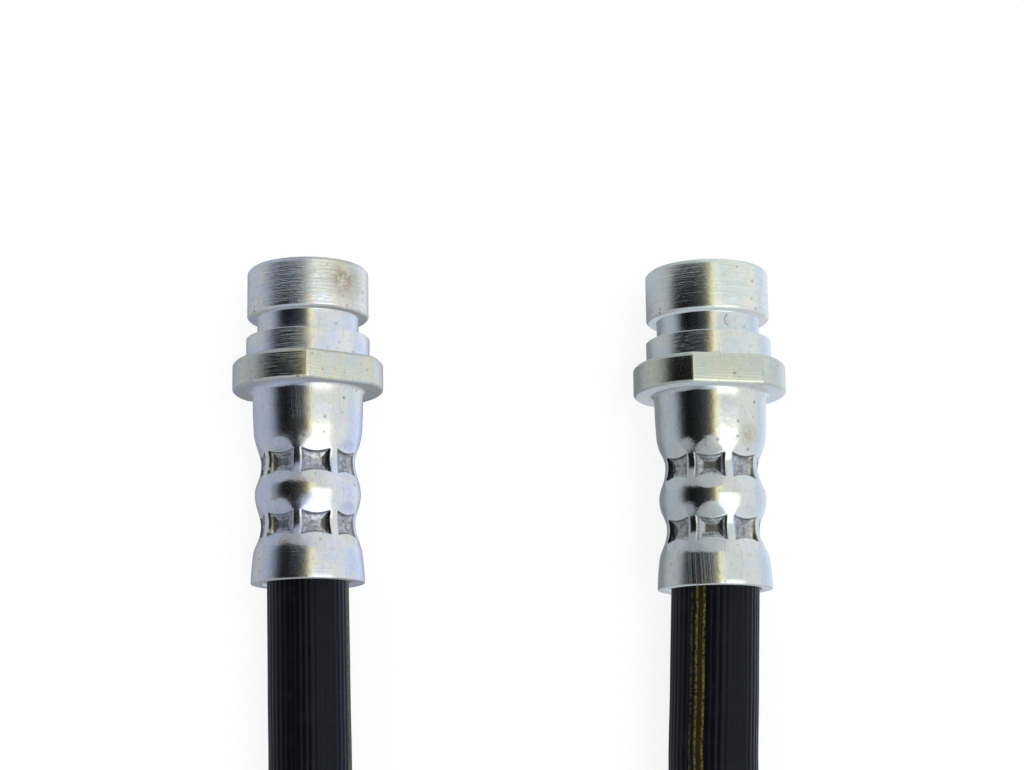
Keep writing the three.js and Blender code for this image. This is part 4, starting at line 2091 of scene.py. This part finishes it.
@dataclass
class Studio:
    """The pale floor, the light around the object and the camera.

    Args:
        floor_half: Half the floor's width.
        floor_colour: The floor's colour.
        floor_white: How far the floor is turned to plain white where the camera sees it.
        lamp_place: Where the soft box overhead hangs.
        lamp_size: The soft box's width and depth.
        lamp_power: The soft box's power, in watts.
        image_width: The photograph's width, in pixels.
        focal_pixels: The lens's focal length, in pixels of the photograph.
        sensor: The camera's sensor width, in millimetres.
        view_depth: The nearest and the furthest that the camera sees.
        aim: The place that the camera looks at.
        distance: The camera's distance from there.
        tilt: The camera's tilt from straight above, in degrees.
        swing: The camera's swing to the right, in degrees.
        roll: The camera's roll, in degrees.
    """

    floor_half: float = 1.5
    floor_colour: Colour = (0.92, 0.92, 0.92, 1)
    floor_white: float = 0.8
    lamp_place: tuple[float, float, float] = (0.35, -0.2, 0.9)
    lamp_size: tuple[float, float] = (0.7, 0.5)
    lamp_power: float = 4.5
    image_width: int = 1024
    focal_pixels: float = 1940.0
    sensor: float = 36.0
    view_depth: tuple[float, float] = (0.01, 10.0)
    aim: tuple[float, float, float] = (0.55 * MM, 5.27 * MM, 9.15 * MM)
    distance: float = 238.1 * MM
    tilt: float = 12.24
    swing: float = 3.0
    roll: float = -0.87

    def add_floor(self) -> None:
        """Adds the pale floor, which looks white and keeps a soft shadow."""
        half = self.floor_half
        mesh = bpy.data.meshes.new("floor")
        corners = [(-half, -half, 0), (half, -half, 0), (half, half, 0), (-half, half, 0)]
        mesh.from_pydata(corners, [], [(0, 1, 2, 3)])
        floor = bpy.data.objects.new("floor", mesh)
        floor.visible_glossy = False
        bpy.context.scene.collection.objects.link(floor)
        material = bpy.data.materials.new("pale_floor")
        material.use_nodes = True
        board = NodeBoard(material.node_tree)
        matte = board.add("ShaderNodeBsdfDiffuse", Color=self.floor_colour)
        glow = board.add("ShaderNodeEmission", Color=(1, 1, 1, 1), Strength=1.0)
        share = board.product(board.add("ShaderNodeLightPath").outputs["Is Camera Ray"], self.floor_white)
        blend = board.add("ShaderNodeMixShader", Fac=share)
        board.feed(blend.inputs[1], matte.outputs[0])
        board.feed(blend.inputs[2], glow.outputs[0])
        output = board.add("ShaderNodeOutputMaterial")
        board.feed(output.inputs["Surface"], blend.outputs[0])
        floor.data.materials.append(material)

    def add_surroundings(self) -> None:
        """Adds the white surroundings and the light tent that the metal reflects."""
        world = bpy.data.worlds.new("studio")
        bpy.context.scene.world = world
        world.use_nodes = True
        board = NodeBoard(world.node_tree)
        background = board.add("ShaderNodeBackground", Color=(1, 1, 1, 1), Strength=1.0)
        output = board.add("ShaderNodeOutputWorld")
        board.feed(output.inputs["Surface"], background.outputs[0])
        LightTent().build()

    def add_key_light(self) -> None:
        """Adds a weak soft box overhead on the right, for the shadow on the floor."""
        light = bpy.data.lights.new("soft_box", "AREA")
        light.shape = "RECTANGLE"
        light.size, light.size_y = self.lamp_size
        light.energy = self.lamp_power
        lamp = bpy.data.objects.new("soft_box", light)
        lamp.location = self.lamp_place
        lamp.rotation_euler = (-lamp.location).to_track_quat("-Z", "Y").to_euler()
        lamp.visible_glossy = False
        lamp.visible_camera = False
        bpy.context.scene.collection.objects.link(lamp)

    def add_camera(self) -> None:
        """Adds the camera that looks down from the hose's side, as the photograph does."""
        data = bpy.data.cameras.new("camera")
        data.sensor_width = self.sensor
        data.lens = self.focal_pixels / self.image_width * self.sensor
        data.clip_start, data.clip_end = self.view_depth
        camera = bpy.data.objects.new("camera", data)
        tilt, swing, roll = map(math.radians, (self.tilt, self.swing, self.roll))
        look = Vector((-math.sin(swing) * math.cos(tilt), math.sin(tilt), -math.cos(swing) * math.cos(tilt)))
        right = look.cross(Vector((0, 1, 0))).normalized()
        up = right.cross(look)
        turned_right = right * math.cos(roll) + up * math.sin(roll)
        turned_up = up * math.cos(roll) - right * math.sin(roll)
        place = Matrix((turned_right, turned_up, -look)).transposed().to_4x4()
        place.translation = Vector(self.aim) - look * self.distance
        camera.matrix_world = place
        bpy.context.scene.collection.objects.link(camera)
        bpy.context.scene.camera = camera

    def set_up(self) -> None:
        """Builds the whole studio."""
        self.add_camera()
        self.add_floor()
        self.add_surroundings()
        self.add_key_light()
        bpy.context.scene.view_settings.view_transform = "Standard"


@dataclass(frozen=True)
class Layout:
    """How the two fittings lie on the floor, side by side.

    Args:
        spacing: The distance between their free ends' centres.
        stagger: How much further forward the left one's free end is.
        lean: How far each turns inwards at its free end, in radians.
        left_height: The height of the left one's axis over the floor.
        right_height: The height of the right one's axis, which rests on a wrench flat's corner.
    """

    spacing: float = 49.5 * MM
    stagger: float = 1.7 * MM
    lean: float = math.radians(0.4)
    left_height: float = 9.25 * MM
    right_height: float = 8.966 * MM

    def left_fitting(self) -> EndFitting:
        """Lays down the left fitting, the duller one of the two.

        Returns:
            The fitting, not built yet.
        """
        length = FittingSizes().length * MM
        finish = ZincFinish(
            "left_zinc_plate",
            first_tint=(0.74, 0.80, 0.95, 1),
            second_tint=(0.86, 0.86, 0.80, 1),
            stains=(Stain(44.0, 2.6, 7.5, 3.4, 0.55), Stain(-18.0, 34.5, 6.4, 1.2, 0.4)),
            marks=(DragMarks((-10, 60), (15.8, 20.0), 0.3),),
            roughness=0.16,
            turning_depth=0.026,
        )
        return EndFitting(
            side=Side.LEFT,
            tip=Vector((-self.spacing / 2, (length + self.stagger) / 2, self.left_height)),
            lean=self.lean,
            flat_angle=37.0,
            indent_angle=18.7,
            finish=finish,
        )

    def right_fitting(self) -> EndFitting:
        """Lays down the right fitting, the brighter one of the two.

        Returns:
            The fitting, not built yet.
        """
        length = FittingSizes().length * MM
        finish = ZincFinish(
            "right_zinc_plate",
            first_tint=(0.74, 0.81, 0.83, 1),
            second_tint=(0.81, 0.83, 0.76, 1),
            stains=(Stain(42.0, 21.0, 6.6, 1.5, 0.4),),
            marks=(HookScratch(23.0, 7.3), DragMarks((-32, -1), (35.4, 39.2))),
            turning_depth=0.007,
        )
        return EndFitting(
            side=Side.RIGHT,
            tip=Vector((self.spacing / 2, (length - self.stagger) / 2, self.right_height)),
            lean=-self.lean,
            flat_angle=14.0,
            indent_angle=-5.2,
            finish=finish,
        )


def main() -> None:
    """Builds the hose, dresses it and sets it in the studio."""
    Studio().set_up()
    layout = Layout()
    left, right = layout.left_fitting(), layout.right_fitting()
    steel = InsertFinish().material()
    pieces = []
    for fitting in (left, right):
        pieces += [fitting.build_body(), fitting.build_insert(steel)]
    pieces += Hose(left, right).build()
    for piece in pieces:
        piece.visible_glossy = False
        LOG.info("%s: %d faces", piece.name, len(piece.data.polygons))
    bpy.context.view_layer.update()


if __name__ == "__main__":
    main()
